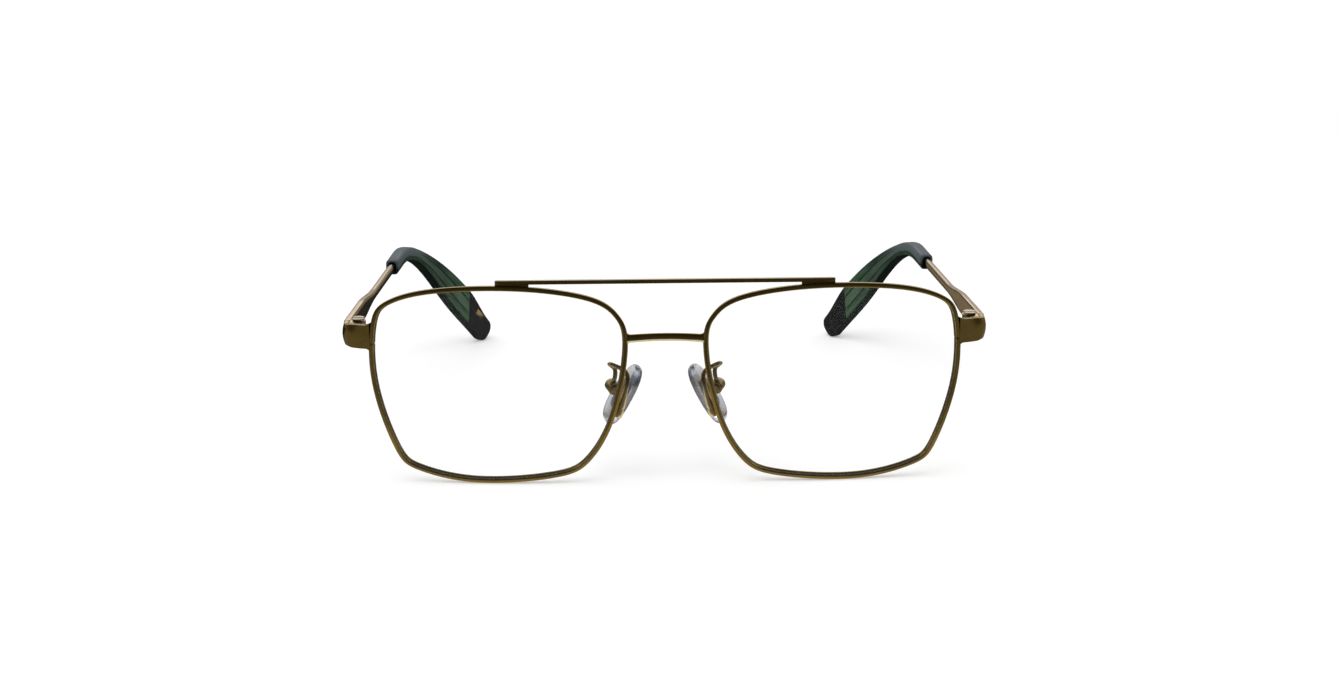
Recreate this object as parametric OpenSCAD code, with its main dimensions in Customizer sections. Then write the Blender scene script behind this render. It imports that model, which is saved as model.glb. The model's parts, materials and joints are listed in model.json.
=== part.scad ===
// Metal spectacles with a straight brow bar over the bridge, adjustable nose pads and acetate temple tips.
// Millimetres. +Z is up, the front looks along -Y, the temples run to +Y and stand open.
// The part stands on the bottoms of its rims and on the ends of its tips.

/* [Front] */
// Width of one lens, over its bevel
lens_w = 56.4; // [54:0.2:57]
// Height of one lens, over its bevel
lens_h = 45.6; // [42:0.2:48]
// Distance between the two lenses
lens_gap = 18; // [17:0.5:21]
// Base curve radius of the lenses and of the rims that hold them
base_r = 120; // [110:5:200]
// Lean of the front, its top forward, in degrees
front_lean = 6; // [4:0.5:8]
// Wrap of each lens, its outer side back, in degrees
front_wrap = 3; // [1:0.5:5]

/* [Rims] */
// Width of the rim wire, seen from the front
rim_w = 1.1; // [1:0.1:1.6]
// Depth of the rim wire, front to back
rim_d = 1.8; // [1.7:0.1:2.6]
// Depth of the groove for the lens
groove_d = 0.5; // [0.4:0.05:0.6]
// Half width of the groove at its mouth
groove_half = 0.4; // [0.35:0.05:0.5]
// Break on the edges of the rim wire
rim_edge = 0.25; // [0.15:0.05:0.3]
// Cut in the rim where the lock closes it
rim_cut = 0.3; // [0.2:0.05:0.5]

/* [Lenses] */
// Thickness of the lenses
lens_t = 1.5; // [1.2:0.1:1.7]
// Play between a lens and its groove
lens_play = 0.06; // [0.04:0.01:0.1]

/* [Bridge and brow bar] */
// Height of the bridge above the middle of the lenses
bridge_rise = 10.7; // [9:0.1:12]
// Height of the bridge section
bridge_h = 1.8; // [1.4:0.1:2.4]
// Depth of the bridge section
bridge_d = 1.6; // [1.2:0.1:1.8]
// How far the middle of the bridge rises
bridge_arch = 0.6; // [0:0.1:2]
// How far the middle of the bridge bows forward
bridge_bow = 1; // [0:0.1:3]
// Length of the brow bar
bar_len = 75; // [66:1:84]
// Height of the brow bar
bar_h = 0.9; // [0.5:0.1:1.2]
// Depth of the brow bar
bar_d = 1.1; // [0.9:0.1:1.6]
// Length of the seats under the ends of the brow bar
seat_len = 7.4; // [5:0.2:10]
// Height of the seats where the rim is highest
seat_h = 0.25; // [0.2:0.05:1]

/* [End pieces] */
// Height of the hinge above the middle of the lenses
end_rise = 11.1; // [9:0.1:12]
// Reach of the end piece outwards from the rim, over the temple
end_reach = 6.3; // [6:0.1:7.4]
// Height of the end piece at the rim
end_h = 5.4; // [4.8:0.1:6]
// Thickness of the end piece at the rim
end_t = 1.8; // [1.4:0.1:2]
// Radius of its turn to the back, on its middle line
end_turn = 2.4; // [2.2:0.1:3]
// Distance from the rim back to the hinge axis
hinge_back = 5.9; // [5.6:0.1:7.2]
// Break on the inner edges of the end piece
end_edge = 0.4; // [0.2:0.05:0.5]
// Swell of its outer face, from the edges to the middle
end_crown = 0.65; // [0.3:0.05:0.8]
// Gap that solder fills between two joined pieces
solder = 0.03; // [0.02:0.01:0.06]

/* [Rim locks] */
// Radius of the lock barrels
lock_r = 1.1; // [1:0.05:1.2]
// Height of the upper half of a lock
lock_h = 2.2; // [1.8:0.1:2.4]
// Height of the lower half of a lock
lock_low_h = 1.2; // [1:0.1:1.8]
// Height of the cut below the middle of the end piece
cut_drop = 1.6; // [1.2:0.1:2]
// Diameter of the lock screw
lock_screw_d = 1; // [0.8:0.1:1.2]
// Distance of the lock screw outwards from the rim
lock_shift = 0.8; // [0.6:0.1:1.2]
// Gap between a lock and the end piece in front of it
lock_gap = 0.1; // [0.06:0.02:0.2]
// Height of the lock screw's head
lock_head_h = 0.5; // [0.3:0.1:0.6]

/* [Hinges] */
// Radius of the hinge barrels
barrel_r = 1.65; // [1.4:0.05:1.75]
// Height of the whole hinge
hinge_h = 4.8; // [4:0.1:5.2]
// Play between two knuckles
knuckle_play = 0.06; // [0.04:0.01:0.1]
// Diameter of the hinge screw
hinge_screw_d = 1.3; // [1:0.1:1.5]
// Running play of a screw in its bore, on the radius
screw_play = 0.04; // [0.02:0.01:0.08]
// Thickness of the hinge leaves
leaf_t = 0.7; // [0.5:0.05:0.8]
// Length of a leaf, from the hinge axis
leaf_len = 4.6; // [4:0.1:5]
// Length of the leaf's seat beside its barrel
leaf_seat = 0.9; // [0.8:0.1:1.2]
// Height of the hinge screw's head
hinge_head_h = 0.5; // [0.3:0.1:0.6]
// Gap between a barrel and the end piece beside it
barrel_gap = 0.25; // [0.15:0.05:0.4]

/* [Temples] */
// Length from the hinge to the corner of the ear bend
temple_len = 100; // [92:1:106]
// Length of the drop behind the ear, from that corner
drop_len = 44.5; // [42:0.5:48]
// Turn of the drop to the back, seen from the side, in degrees
drop_angle = 51; // [45:1:55]
// Lean of the drop towards the head, in degrees
drop_lean = 24.5; // [18:0.5:27]
// How far a temple draws inwards before the bend
temple_draw = 5.5; // [2:0.5:7]
// Start of the bend before its corner
bend_run = 20; // [14:1:22]
// Height of the temple at the hinge
butt_h = 4.7; // [4:0.1:5.2]
// Thickness of the temple at the hinge
butt_t = 1.5; // [1.2:0.1:1.8]
// Length of the broad butt behind the hinge
butt_len = 19; // [10:1:22]
// Length of the shoulder where it narrows to the shank
taper_len = 19; // [12:1:24]
// Height of the slender shank
shank_h = 2.3; // [1.8:0.1:2.6]
// Thickness of the slender shank
shank_t = 1.5; // [1.2:0.1:1.7]
// Running gap between the end piece and the temple
butt_gap = 0.1; // [0.06:0.02:0.2]

/* [Temple tips] */
// Distance from the hinge to the mouth of the tip
tip_start = 68; // [62:1:74]
// Height of the tip at its mouth
mouth_h = 3.6; // [3.2:0.1:4.2]
// Thickness of the tip at its mouth
mouth_t = 3; // [2.6:0.1:3.6]
// Greatest height of the paddle
paddle_h = 8; // [6.8:0.1:9]
// Distance from its highest place to the end of the tip
paddle_up = 16; // [12:1:22]
// Height of the tip where it turns to its round end
tip_end_h = 6.2; // [5:0.1:6.6]
// How far its lower edge stays straight there, as a share
tip_skew = 0.8; // [0.4:0.1:1]
// Thickness of the paddle
paddle_t = 3.1; // [2.6:0.1:3.6]
// Edge left round the mouth
mouth_lip = 0.4; // [0.3:0.1:0.5]
// Depth over which the mouth narrows to the core wire
mouth_depth = 2; // [1:0.5:4]
// Distance from the end of the core wire to the end of the tip
core_short = 13; // [9:1:20]
// Play between the core wire and the tip
core_play = 0.05; // [0.03:0.01:0.1]
// Height of the plaque, along the tip
plaque_len = 3.4; // [2:0.2:5]
// Width of the plaque
plaque_w = 1.5; // [1:0.1:2.4]
// Thickness of the plaque
plaque_t = 0.3; // [0.2:0.05:0.5]
// Distance from the plaque's middle to the end of the tip
plaque_up = 8.5; // [6:0.5:12]
// How far the plaque sits above the middle of the tip
plaque_rise = 0.9; // [0:0.1:1.2]

/* [Nose pads] */
// Length of a nose pad
pad_len = 15; // [13:0.2:16]
// Width of a nose pad
pad_w = 7.8; // [6:0.2:9]
// Thickness of a nose pad
pad_t = 3; // [2.6:0.1:3.4]
// Distance between the pad boxes
box_gap = 23.8; // [23:0.2:27]
// Height of the pad boxes, from the middle of the lenses
box_rise = -2.8; // [-4:0.1:-1]
// Distance of the pad boxes behind the front
box_back = 10.3; // [9.5:0.1:12]
// Radius of a pad box
box_r = 1.5; // [1.45:0.05:1.8]
// Wall of a pad box behind the lug
box_wall = 0.4; // [0.3:0.05:0.5]
// Length of a pad box, along its screw
box_len = 2.6; // [2.4:0.1:3]
// Width of the slot in a pad box
slot_w = 1.3; // [1.1:0.1:1.5]
// Play between the pad's lug and the slot, on each side
lug_play = 0.08; // [0.05:0.01:0.15]
// Diameter of the pad screw
pad_screw_d = 0.9; // [0.7:0.05:0.95]
// Width of the step under the pad screw's head
pad_head_step = 0.4; // [0.3:0.05:0.45]
// Length of the oval plate inside a pad
plate_len = 7.6; // [6:0.2:9]
// Width of that plate
plate_w = 3.2; // [2.4:0.2:4]
// Thickness of that plate
plate_t = 0.6; // [0.4:0.1:0.8]
// Frontal angle of the pads, their tops together, in degrees
pad_frontal = 30; // [24:1:34]
// Splay angle of the pads, their backs apart, in degrees
pad_splay = 26; // [18:1:32]
// Gap between a pad and its box
pad_clear = 0.25; // [0.15:0.05:0.5]
// How far the middle of a pad sits below its box
pad_sink = 0.7; // [0:0.1:1.5]
// Height of the foot of a pad arm, from the middle of the lenses
foot_rise = -7.6; // [-9:0.1:-6]
// How far that foot lies behind the middle of the rim
foot_back = 0.4; // [0:0.1:0.8]
// Wire diameter of the pad arms
arm_d = 1; // [0.8:0.1:1.2]
// Diameter of the foot of a pad arm
arm_foot_d = 1.5; // [1.2:0.1:1.6]

/* [Hidden] */
GOLD = [0.42, 0.33, 0.14];
PALE = [0.80, 0.74, 0.66];
$fn = 48;

// Shapes without a size of their own: the corners of a flat oval, how round a wire is and how flat
// a tip is, the width and depth of a slot as shares of its screw head, and the drop form of a pad
corner_swell = 0.24;
wire_squareness = 0.3;
tip_squareness = 0.8;
slot_share = [0.16, 0.5];
pad_squareness = 0.4;
pad_widening = 0.12;
pad_fullness = 0.6;

// Vectors
function unit(v) = v / norm(v);
function mix(a, b, k) = a + (b - a) * k;
function ease(k) = k <= 0 ? 0 : k >= 1 ? 1 : k * k * (3 - 2 * k);
// The same direction without its part along t
function square_to(v, t) = unit(v - (v * t) * t);

// Lens outline: a closed cubic spline about the middle of the lens, seen from the front.
// It starts at the outer side of the right-hand lens and goes up and round.
outline_poles = [
    [29.5, 0], [28.5, 15.5], [26, 18.5], [17, 22], [-4.5, 23], [-22, 20], [-26, 15.5],
    [-28.5, 11], [-25, -9.5], [-18.5, -19.5], [-14, -22], [8, -24], [21, -20], [23.5, -18]
];
poles = len(outline_poles);
steps_per_pole = 6;
function pole(i) = outline_poles[(i + poles) % poles];
function blend4(a, b, c, d, f) =
    (a * pow(1 - f, 3) + b * (3 * pow(f, 3) - 6 * f * f + 4)
    + c * (-3 * pow(f, 3) + 3 * f * f + 3 * f + 1) + d * pow(f, 3)) / 6;
function raw_outline(t) =
    let (i = floor(t), f = t - i)
    blend4(pole(i - 1), pole(i), pole(i + 1), pole(i + 2), f);
raw_points = [for (i = [0 : 12 * poles - 1]) raw_outline(i / 12)];
raw_x = [for (p = raw_points) p[0]];
raw_z = [for (p = raw_points) p[1]];
outline_scale = [lens_w / (max(raw_x) - min(raw_x)), lens_h / (max(raw_z) - min(raw_z))];
outline_mid = [(max(raw_x) + min(raw_x)) / 2, (max(raw_z) + min(raw_z)) / 2];
function outline(t) =
    let (p = raw_outline(t) - outline_mid)
    [p[0] * outline_scale[0], p[1] * outline_scale[1]];

// Place on the outline at a given height, on its outer side and on its nose side
function outer_t(z, low = 0, high = 1.6, n = 22) =
    let (m = (low + high) / 2)
    n == 0 ? m : outline(m)[1] < z ? outer_t(z, m, high, n - 1) : outer_t(z, low, m, n - 1);
function nose_t(z, low = 6, high = 9, n = 22) =
    let (m = (low + high) / 2)
    n == 0 ? m : outline(m)[1] > z ? nose_t(z, m, high, n - 1) : nose_t(z, low, m, n - 1);
// Place on its top at a given distance from the middle of the lens
function top_t(x, low = 2, high = 6, n = 22) =
    let (m = (low + high) / 2)
    n == 0 ? m : outline(m)[0] > x ? top_t(x, m, high, n - 1) : top_t(x, low, m, n - 1);

// The curved, leaning front: x and z from the middle of the right-hand lens, n towards the front
eye_x = (lens_gap + lens_w) / 2;
function front_slope(x, z) = [x / base_r + tan(front_wrap), z / base_r - tan(front_lean)];
function front_y(x, z) =
    (x * x + z * z) / (2 * base_r) + x * tan(front_wrap) - z * tan(front_lean);
function front_normal(x, z) = let (s = front_slope(x, z)) unit([s[0], -1, s[1]]);
function on_front(x, z, n) = [eye_x + x, front_y(x, z), z] + n * front_normal(x, z);
// A point beside the outline: b outwards from the lens, n towards the front
function beside(t, b, n) =
    let (
        p = outline(t),
        nearby = outline(t + 0.01),
        normal = front_normal(p[0], p[1]),
        along = square_to(on_front(nearby[0], nearby[1], 0) - on_front(p[0], p[1], 0), normal)
    )
    on_front(p[0], p[1], 0) + b * cross(along, normal) + n * normal;

// Rim: its section, from the bottom of the groove round the wire
rim_out = rim_w - groove_d;
half_d = rim_d / 2;
rim_section = [
    [0, 0], [-groove_d, groove_half], [-groove_d, half_d - rim_edge],
    [-groove_d + rim_edge, half_d], [rim_out - rim_edge, half_d], [rim_out, half_d - rim_edge],
    [rim_out, -half_d + rim_edge], [rim_out - rim_edge, -half_d],
    [-groove_d + rim_edge, -half_d], [-groove_d, -half_d + rim_edge], [-groove_d, -groove_half]
];
cut_z = end_rise - cut_drop;
cut_t = [outer_t(cut_z - rim_cut / 2), outer_t(cut_z + rim_cut / 2)];
rim_steps = poles * steps_per_pole;
rim_places = [for (i = [0 : rim_steps]) mix(cut_t[1], cut_t[0] + poles, i / rim_steps)];
rim_rings = [for (t = rim_places) [for (p = rim_section) beside(t, p[0], p[1])]];

// Height of the middle of the lenses, so that the rims stand on z = 0
eye_z = -min([for (r = rim_rings) for (p = r) p[2]]);

// End piece: middle line in plan, from the rim outwards and round to the back
hinge_z = eye_z + end_rise;
// Bulge of the outline over the height of the end piece, which the gap there clears
function end_half(way) = outline(outer_t(end_rise + way * end_h / 2))[0];
end_bulge = outline(outer_t(end_rise))[0] - (end_half(1) + end_half(-1)) / 2;
end_b = rim_out + solder + max(0, end_bulge);
end_root = beside(outer_t(end_rise), end_b, 0);
end_slope = front_slope(outline(outer_t(end_rise))[0], end_rise);
end_yaw = atan(end_slope[0]);
leg_x = end_root[0] + end_reach - butt_t / 2;
turn_x = leg_x - end_turn * (1 - sin(end_yaw));
turn_y = end_root[1] + (turn_x - end_root[0]) * tan(end_yaw);
turn_mid = [turn_x - end_turn * sin(end_yaw), turn_y + end_turn * cos(end_yaw)];
// Hinge axis, through this point and leaning with the front
pivot = [leg_x - butt_t / 2 - barrel_r - barrel_gap, end_root[1] + hinge_back, hinge_z];
hinge_lean = front_lean;
turn_steps = 6;
end_line = concat(
    [for (k = [0.35, 0.7]) [mix([end_root[0], end_root[1]], [turn_x, turn_y], k), end_yaw]],
    [for (i = [0 : turn_steps])
        let (a = mix(end_yaw, 90, i / turn_steps))
        [turn_mid + end_turn * [sin(a), -cos(a)], a]],
    [[[leg_x, pivot[1] - butt_gap / 2], 90]]
);
// Section of the end piece, across its thickness and up: flat inside, crowned outside
function block_section(t, h, crown) = concat(
    [[t / 2, h / 2 - end_edge], [t / 2 - end_edge, h / 2]],
    [for (k = [3 : -1 : -3]) [-t / 2 + crown * k * k / 9, k * h / 6]],
    [[t / 2 - end_edge, -h / 2], [t / 2, -h / 2 + end_edge]]
);
end_rings = concat(
    [[for (p = block_section(end_t, end_h, 0))
        beside(outer_t(end_rise + p[1]), end_b, -p[0]) + [0, 0, eye_z]]],
    [for (i = [0 : len(end_line) - 1])
        let (
            at = end_line[i][0],
            a = end_line[i][1],
            k = i / (len(end_line) - 1),
            t = mix(end_t, butt_t, ease(k)),
            h = mix(end_h, butt_h, ease(k))
        )
        [for (p = block_section(t, h, end_crown * ease(2 * k)))
            [
                at[0] - p[0] * sin(a),
                at[1] + p[0] * cos(a) - ease(k) * p[1] * tan(hinge_lean),
                hinge_z + p[1]
            ]]]
);

// Temple: straight from the hinge to the ear bend, round it, and down behind the ear
temple_root = [leg_x, pivot[1] + butt_gap / 2, hinge_z];
drop_dir = unit([-tan(drop_lean), cos(drop_angle), -sin(drop_angle)]);
ear = temple_root + [-temple_draw, temple_len, 0];
temple_dir = unit(ear - temple_root);
bend_start = norm(ear - temple_root) - bend_run;
bend_len = 2 * bend_run * cos(acos(temple_dir * drop_dir) / 4);
temple_end = bend_start + bend_len + drop_len - bend_run;
// Point and direction at a distance d from the hinge; dip lowers what lies behind the hinge
function temple_at(d, dip) =
    let (
        corner = ear - [0, 0, dip],
        ahead = unit(corner - temple_root),
        q = (d - bend_start) / bend_len,
        start = corner - bend_run * ahead,
        stop = corner + bend_run * drop_dir
    )
    d < bend_start ? [temple_root + d * ahead, ahead]
    : q > 1 ? [stop + (d - bend_start - bend_len) * drop_dir, drop_dir]
    : [mix(mix(start, corner, q), mix(corner, stop, q), q), unit(mix(ahead, drop_dir, q))];
// Ring of a flat oval section across the temple: h up, t across, squareness from 0 to 1.
// lean sets the ring at the hinge parallel to the leaning front; sink lowers the section.
function oval(points, squareness) =
    let (
        turns = [for (i = [0 : points - 1]) 360 * (i + 0.5) / points],
        raw = [for (a = turns)
            (1 + squareness * corner_swell * pow(sin(2 * a), 2)) * [cos(a), sin(a)]],
        reach = max([for (p = raw) p[0]])
    )
    [for (p = raw) p / reach];
function temple_ring(d, h, t, squareness, dip, lean = 0, sink = 0) =
    let (
        place = temple_at(d, dip),
        along = place[1],
        inward = unit([-along[1], along[0], 0]),
        up = cross(along, inward)
    )
    [for (o = oval(12, squareness))
        place[0] + inward * o[0] * t / 2 + up * (o[1] * h / 2 - sink)
        - [0, lean * o[1] * h / 2, 0]];

// Tip: grows from its mouth to the paddle and ends round, but for a small blunt face
blunt = 0.02;
tip_end_run = tip_end_h / 2;
paddle_at = temple_end - paddle_up;
grow_from = bend_start + 0.4 * bend_len;
function tip_shrink(d) = ease((d - paddle_at) / (paddle_up - tip_end_run));
function tip_sink(d) = tip_skew * tip_shrink(d) * (paddle_h - tip_end_h) / 2;
function tip_h(d) =
    let (
        grow = ease((d - grow_from) / (paddle_at - grow_from)),
        left = (temple_end - d) / tip_end_run
    )
    mix(mix(mouth_h, paddle_h, grow), tip_end_h, tip_shrink(d))
    * (left < 1 ? sqrt(max(blunt, 1 - pow(1 - left, 2))) : 1);
function tip_t(d) =
    let (left = (temple_end - d) / tip_end_run)
    mix(mouth_t, paddle_t, ease((d - tip_start) / 20))
    * (left < 1 ? sqrt(max(3 * blunt, 1 - pow(1 - left, 3))) : 1);
tip_places = concat(
    [for (k = [0 : 0.5 : 1]) mix(tip_start, bend_start, k)],
    [for (k = [0.125 : 0.125 : 1]) bend_start + k * bend_len],
    [for (k = [0.25 : 0.25 : 1]) mix(bend_start + bend_len, temple_end - tip_end_run, k)],
    [for (a = [30 : 20 : 90]) temple_end - tip_end_run * (1 - sin(a))]
);
function tip_outer(dip) = [for (d = tip_places)
    temple_ring(d, tip_h(d), tip_t(d), tip_squareness, dip, 0, tip_sink(d))];
// The ends of the tips stand on z = 0: the temples dip by what is left below them
function lowest(rings) = min([for (r = rings) for (p = r) p[2]]);
first_dip = lowest(tip_outer(0));
temple_dip = first_dip + lowest(tip_outer(first_dip));
core_end = temple_end - core_short;
core_places = concat(
    [for (k = [0 : 0.5 : 1]) mix(tip_start + mouth_depth, bend_start, k)],
    [for (k = [0.2 : 0.2 : 1]) bend_start + k * bend_len],
    [core_end]
);
core_last = len(core_places) - 1;
tip_bore = [for (i = [core_last : -1 : 0])
    let (d = core_places[i] + (i == core_last ? 4 * core_play : 0))
    temple_ring(d, shank_h + 2 * core_play, shank_t + 2 * core_play, wire_squareness, temple_dip)];
tip_mouth = temple_ring(
    tip_start, mouth_h - 2 * mouth_lip, mouth_t - 2 * mouth_lip, wire_squareness, temple_dip
);
tip_rings = concat(tip_bore, [tip_mouth], tip_outer(temple_dip));
taper_places = concat([0, butt_len / 2], [for (k = [0 : 0.125 : 1]) butt_len + k * taper_len]);
temple_rings = concat(
    [for (d = taper_places)
        let (k = ease((d - butt_len) / taper_len))
        temple_ring(
            d, mix(butt_h, shank_h, k), mix(butt_t, shank_t, k), mix(1, wire_squareness, k),
            temple_dip, d == 0 ? tan(hinge_lean) : 0
        )],
    [for (d = core_places) temple_ring(d, shank_h, shank_t, wire_squareness, temple_dip)]
);

// The origin is under the middle of the bounding box
lens_reach = front_y(-base_r * tan(front_wrap), base_r * tan(front_lean)) - lens_t / 2;
front_reach = min(lens_reach, min([for (r = rim_rings) for (p = r) p[1]]));
back_reach = max([for (r = tip_outer(temple_dip)) for (p = r) p[1]]);
origin_y = (front_reach + back_reach) / 2;

// Nose pads: box, pad directions and the arm's route on the right-hand side
box_at = [box_gap / 2, box_back, eye_z + box_rise];
pad_up = unit([-sin(pad_frontal), 0, cos(pad_frontal)]);
pad_back = square_to([sin(pad_splay), cos(pad_splay), 0], pad_up);
pad_face = cross(pad_up, pad_back);
pad_reach = box_r + pad_clear + pad_t / 2;
arm_foot = beside(nose_t(foot_rise), rim_out + arm_foot_d / 2 + solder, -foot_back) + [0, 0, eye_z];
land_angle = 18;
land_dir = cos(land_angle) * pad_up - sin(land_angle) * pad_face;
arm_land = box_at + (box_r + solder) * land_dir;
arm_route = [
    arm_foot,
    arm_foot + [-1.1, 0.4, 3.2],
    arm_foot + [-2, 1.2, 6.4],
    arm_foot + [-2.6, 2.4, 9.2],
    box_at + [-2.6, -3.6, 4.9],
    box_at + [-1.2, -2.6, 5.3],
    box_at + [0.6, -1.4, 5.8],
    box_at + [0.8, 0, 5.2],
    box_at + [-0.7, 0.4, 4.3],
    arm_land + 1.2 * land_dir,
    arm_land
];
arm_steps = 4;
arm_parts = len(arm_route) - 1;
function arm_pole(i) =
    i < 0 ? 2 * arm_route[0] - arm_route[1]
    : i > arm_parts ? 2 * arm_route[arm_parts] - arm_route[arm_parts - 1]
    : arm_route[i];
function arm_at(t) =
    let (i = min(floor(t), arm_parts - 1), f = t - i)
    blend4(arm_pole(i - 1), arm_pole(i), arm_pole(i + 1), arm_pole(i + 2), f);
arm_points = [for (i = [0 : arm_parts * arm_steps]) arm_at(i / arm_steps)];
arm_last = len(arm_points) - 1;
arm_tangents = [for (i = [0 : arm_last])
    unit(arm_points[min(i + 1, arm_last)] - arm_points[max(i - 1, 0)])];
// A direction carried along a line without twist
function carried(tangents, first) = [
    for (
        i = 0, n = square_to(first, tangents[0]);
        i < len(tangents);
        i = i + 1, n = i < len(tangents) ? square_to(n, tangents[i]) : n
    ) n
];
arm_sides = carried(arm_tangents, [1, 0, 0]);
arm_rings = [for (i = [0 : arm_last])
    let (
        side = arm_sides[i],
        other = cross(arm_tangents[i], side),
        r = mix(arm_foot_d, arm_d, ease(i / (2 * arm_steps))) / 2
    )
    [for (a = [0 : 45 : 315]) arm_points[i] + r * (side * cos(a) + other * sin(a))]];

// Closed solid through rings of the same number of points, each turning left about the way ahead
module skin(rings) {
    n = len(rings[0]);
    last = len(rings) - 1;
    sides = [for (i = [0 : last - 1]) for (j = [0 : n - 1])
        let (k = (j + 1) % n, a = i * n, b = a + n)
        each [[a + j, b + j, b + k], [a + j, b + k, a + k]]];
    start = [for (j = [1 : n - 2]) [0, j, j + 1]];
    stop = [for (j = [1 : n - 2]) [last * n, last * n + j + 1, last * n + j]];
    polyhedron(points = [for (r = rings) each r], faces = concat(sides, start, stop));
}

// Right-hand pieces are drawn; the left-hand ones are their mirror images
module at_side(side) {
    translate([0, -origin_y, 0])
        mirror([side == "left" ? 1 : 0, 0, 0])
            children();
}

// Hinge frame: origin on the axis, at mid height
module at_hinge() {
    translate(pivot)
        rotate([hinge_lean, 0, 0])
            children();
}

// Frame with its origin at a place and its axes along three directions
module in_frame(x, y, z, place) {
    multmatrix([for (i = [0 : 3]) i == 3 ? [0, 0, 0, 1] : [x[i], y[i], z[i], place[i]]])
        children();
}

// Pad box frame: x towards the nose, y up along the pad, z along the pad screw to the back
module at_box() {
    in_frame(pad_face, pad_up, pad_back, box_at)
        children();
}

module rim(side) {
    color(GOLD)
        at_side(side)
            translate([0, 0, eye_z])
                skin(rim_rings);
}

// Lens: from the middle of its back out to the edge, over the bevel and in again
module lens(side) {
    lens_edge = -groove_d - lens_play;
    bevel_half = groove_half - 2 * lens_play;
    places = [for (i = [0 : 4 * poles - 1]) i / 4];
    function inner(k, n) = [for (t = places) let (p = outline(t) * k) on_front(p[0], p[1], n)];
    function edge(b, n) = [for (t = places) beside(t, b, n)];
    color([0.82, 0.88, 0.90, 0.35])
        at_side(side)
            translate([0, 0, eye_z])
                skin(concat(
                    [for (k = [0.05, 0.35, 0.65, 0.88]) inner(k, -lens_t / 2)],
                    [
                        edge(lens_edge, -lens_t / 2),
                        edge(lens_edge, -bevel_half),
                        edge(-2 * lens_play, 0),
                        edge(lens_edge, bevel_half),
                        edge(lens_edge, lens_t / 2)
                    ],
                    [for (k = [0.88, 0.65, 0.35, 0.05]) inner(k, lens_t / 2)]
                ));
}

// Bridge: its ends follow the outer faces of the two rims
module bridge() {
    points = 12;
    angles = [for (i = [0 : points - 1]) 360 * i / points];
    root = beside(nose_t(bridge_rise), rim_out + solder, 0);
    function across(a) = bridge_d / 2 * cos(a);
    function above(a) = bridge_h / 2 * sin(a);
    end_ring = [for (a = angles)
        beside(nose_t(bridge_rise + above(a)), rim_out + solder, -across(a))];
    function middle(k) = [for (a = angles)
        [
            root[0] * k,
            root[1] - bridge_bow * (1 - k * k) + across(a),
            bridge_rise + bridge_arch * (1 - k * k) + above(a)
        ]];
    color(GOLD)
        at_side("right")
            translate([0, 0, eye_z])
                skin(concat(
                    [[for (p = end_ring) [-p[0], p[1], p[2]]]],
                    [for (k = [-0.9 : 0.15 : 0.9]) middle(k)],
                    [end_ring]
                ));
}

// Brow bar: straight, with round ends, over both rims
bar_end = bar_len / 2;
seat_places = [for (k = [0 : 0.25 : 1]) top_t(bar_end - k * seat_len - eye_x)];
seat_tops = [for (t = seat_places) beside(t, rim_out + solder, 0)];
bar_low = eye_z + max([for (p = seat_tops) p[2]]) + seat_h;
bar_y = seat_tops[0][1];
module brow_bar() {
    ends = bar_end - bar_d / 2;
    color(GOLD)
        translate([0, bar_y - origin_y, bar_low]) {
            translate([-ends, -bar_d / 2, 0])
                cube([2 * ends, bar_d, bar_h]);
            for (x = [-ends, ends])
                translate([x, 0, 0])
                    cylinder(d = bar_d, h = bar_h);
        }
}

// Seat: stands on the rim's outer face and carries the end of the bar
module brow_seat(side) {
    seat_half = min(bar_d, rim_d) / 2 - rim_edge;
    color(PALE)
        at_side(side)
            skin([for (t = seat_places)
                let (
                    front = beside(t, rim_out + solder, seat_half) + [0, 0, eye_z],
                    back = beside(t, rim_out + solder, -seat_half) + [0, 0, eye_z]
                )
                [
                    front,
                    [front[0], front[1], bar_low - solder],
                    [back[0], back[1], bar_low - solder],
                    back
                ]]);
}

module end_piece(side) {
    color(GOLD)
        at_side(side)
            skin(end_rings);
}

// Rim lock: two barrels behind the end piece, soldered to the backs of the two ends of the rim
lock_t = outer_t(cut_z);
lock_normal = front_normal(outline(lock_t)[0], cut_z);
lock_out = unit(beside(lock_t, 1, 0) - beside(lock_t, 0, 0));
lock_face = max(half_d + solder, end_t / 2 + lock_gap);
lock_at = beside(lock_t, rim_out + lock_shift, -lock_face - lock_r) + [0, 0, eye_z];
module at_lock() {
    in_frame(lock_out, -lock_normal, cross(lock_out, -lock_normal), lock_at)
        children();
}
module rim_lock(side) {
    color(GOLD)
        at_side(side)
            at_lock()
                for (half = [[rim_cut / 2, lock_h], [-rim_cut / 2 - lock_low_h, lock_low_h]])
                    translate([0, 0, half[0]])
                        difference() {
                            union() {
                                cylinder(r = lock_r, h = half[1]);
                                translate([-lock_r, -lock_r, 0])
                                    cube([2 * lock_r, lock_r, half[1]]);
                            }
                            translate([0, 0, -1])
                                cylinder(d = lock_screw_d + 2 * screw_play, h = half[1] + 2);
                        }
}

// Slotted screw along +z, with the underside of its head at z = 0
module slotted_screw(d, len, head_d, head_h) {
    cylinder(d = d, h = len);
    difference() {
        translate([0, 0, -head_h])
            cylinder(d = head_d, h = head_h);
        translate([-head_d, -slot_share[0] * head_d / 2, -2 * head_h])
            cube([2 * head_d, slot_share[0] * head_d, (1 + slot_share[1]) * head_h]);
    }
}

module rim_screw(side) {
    color(PALE)
        at_side(side)
            at_lock()
                translate([0, 0, rim_cut / 2 + lock_h + solder])
                    rotate([180, 0, 0])
                        slotted_screw(
                            lock_screw_d, lock_h + rim_cut + lock_low_h, 2 * lock_r - rim_edge, lock_head_h
                        );
}

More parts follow.
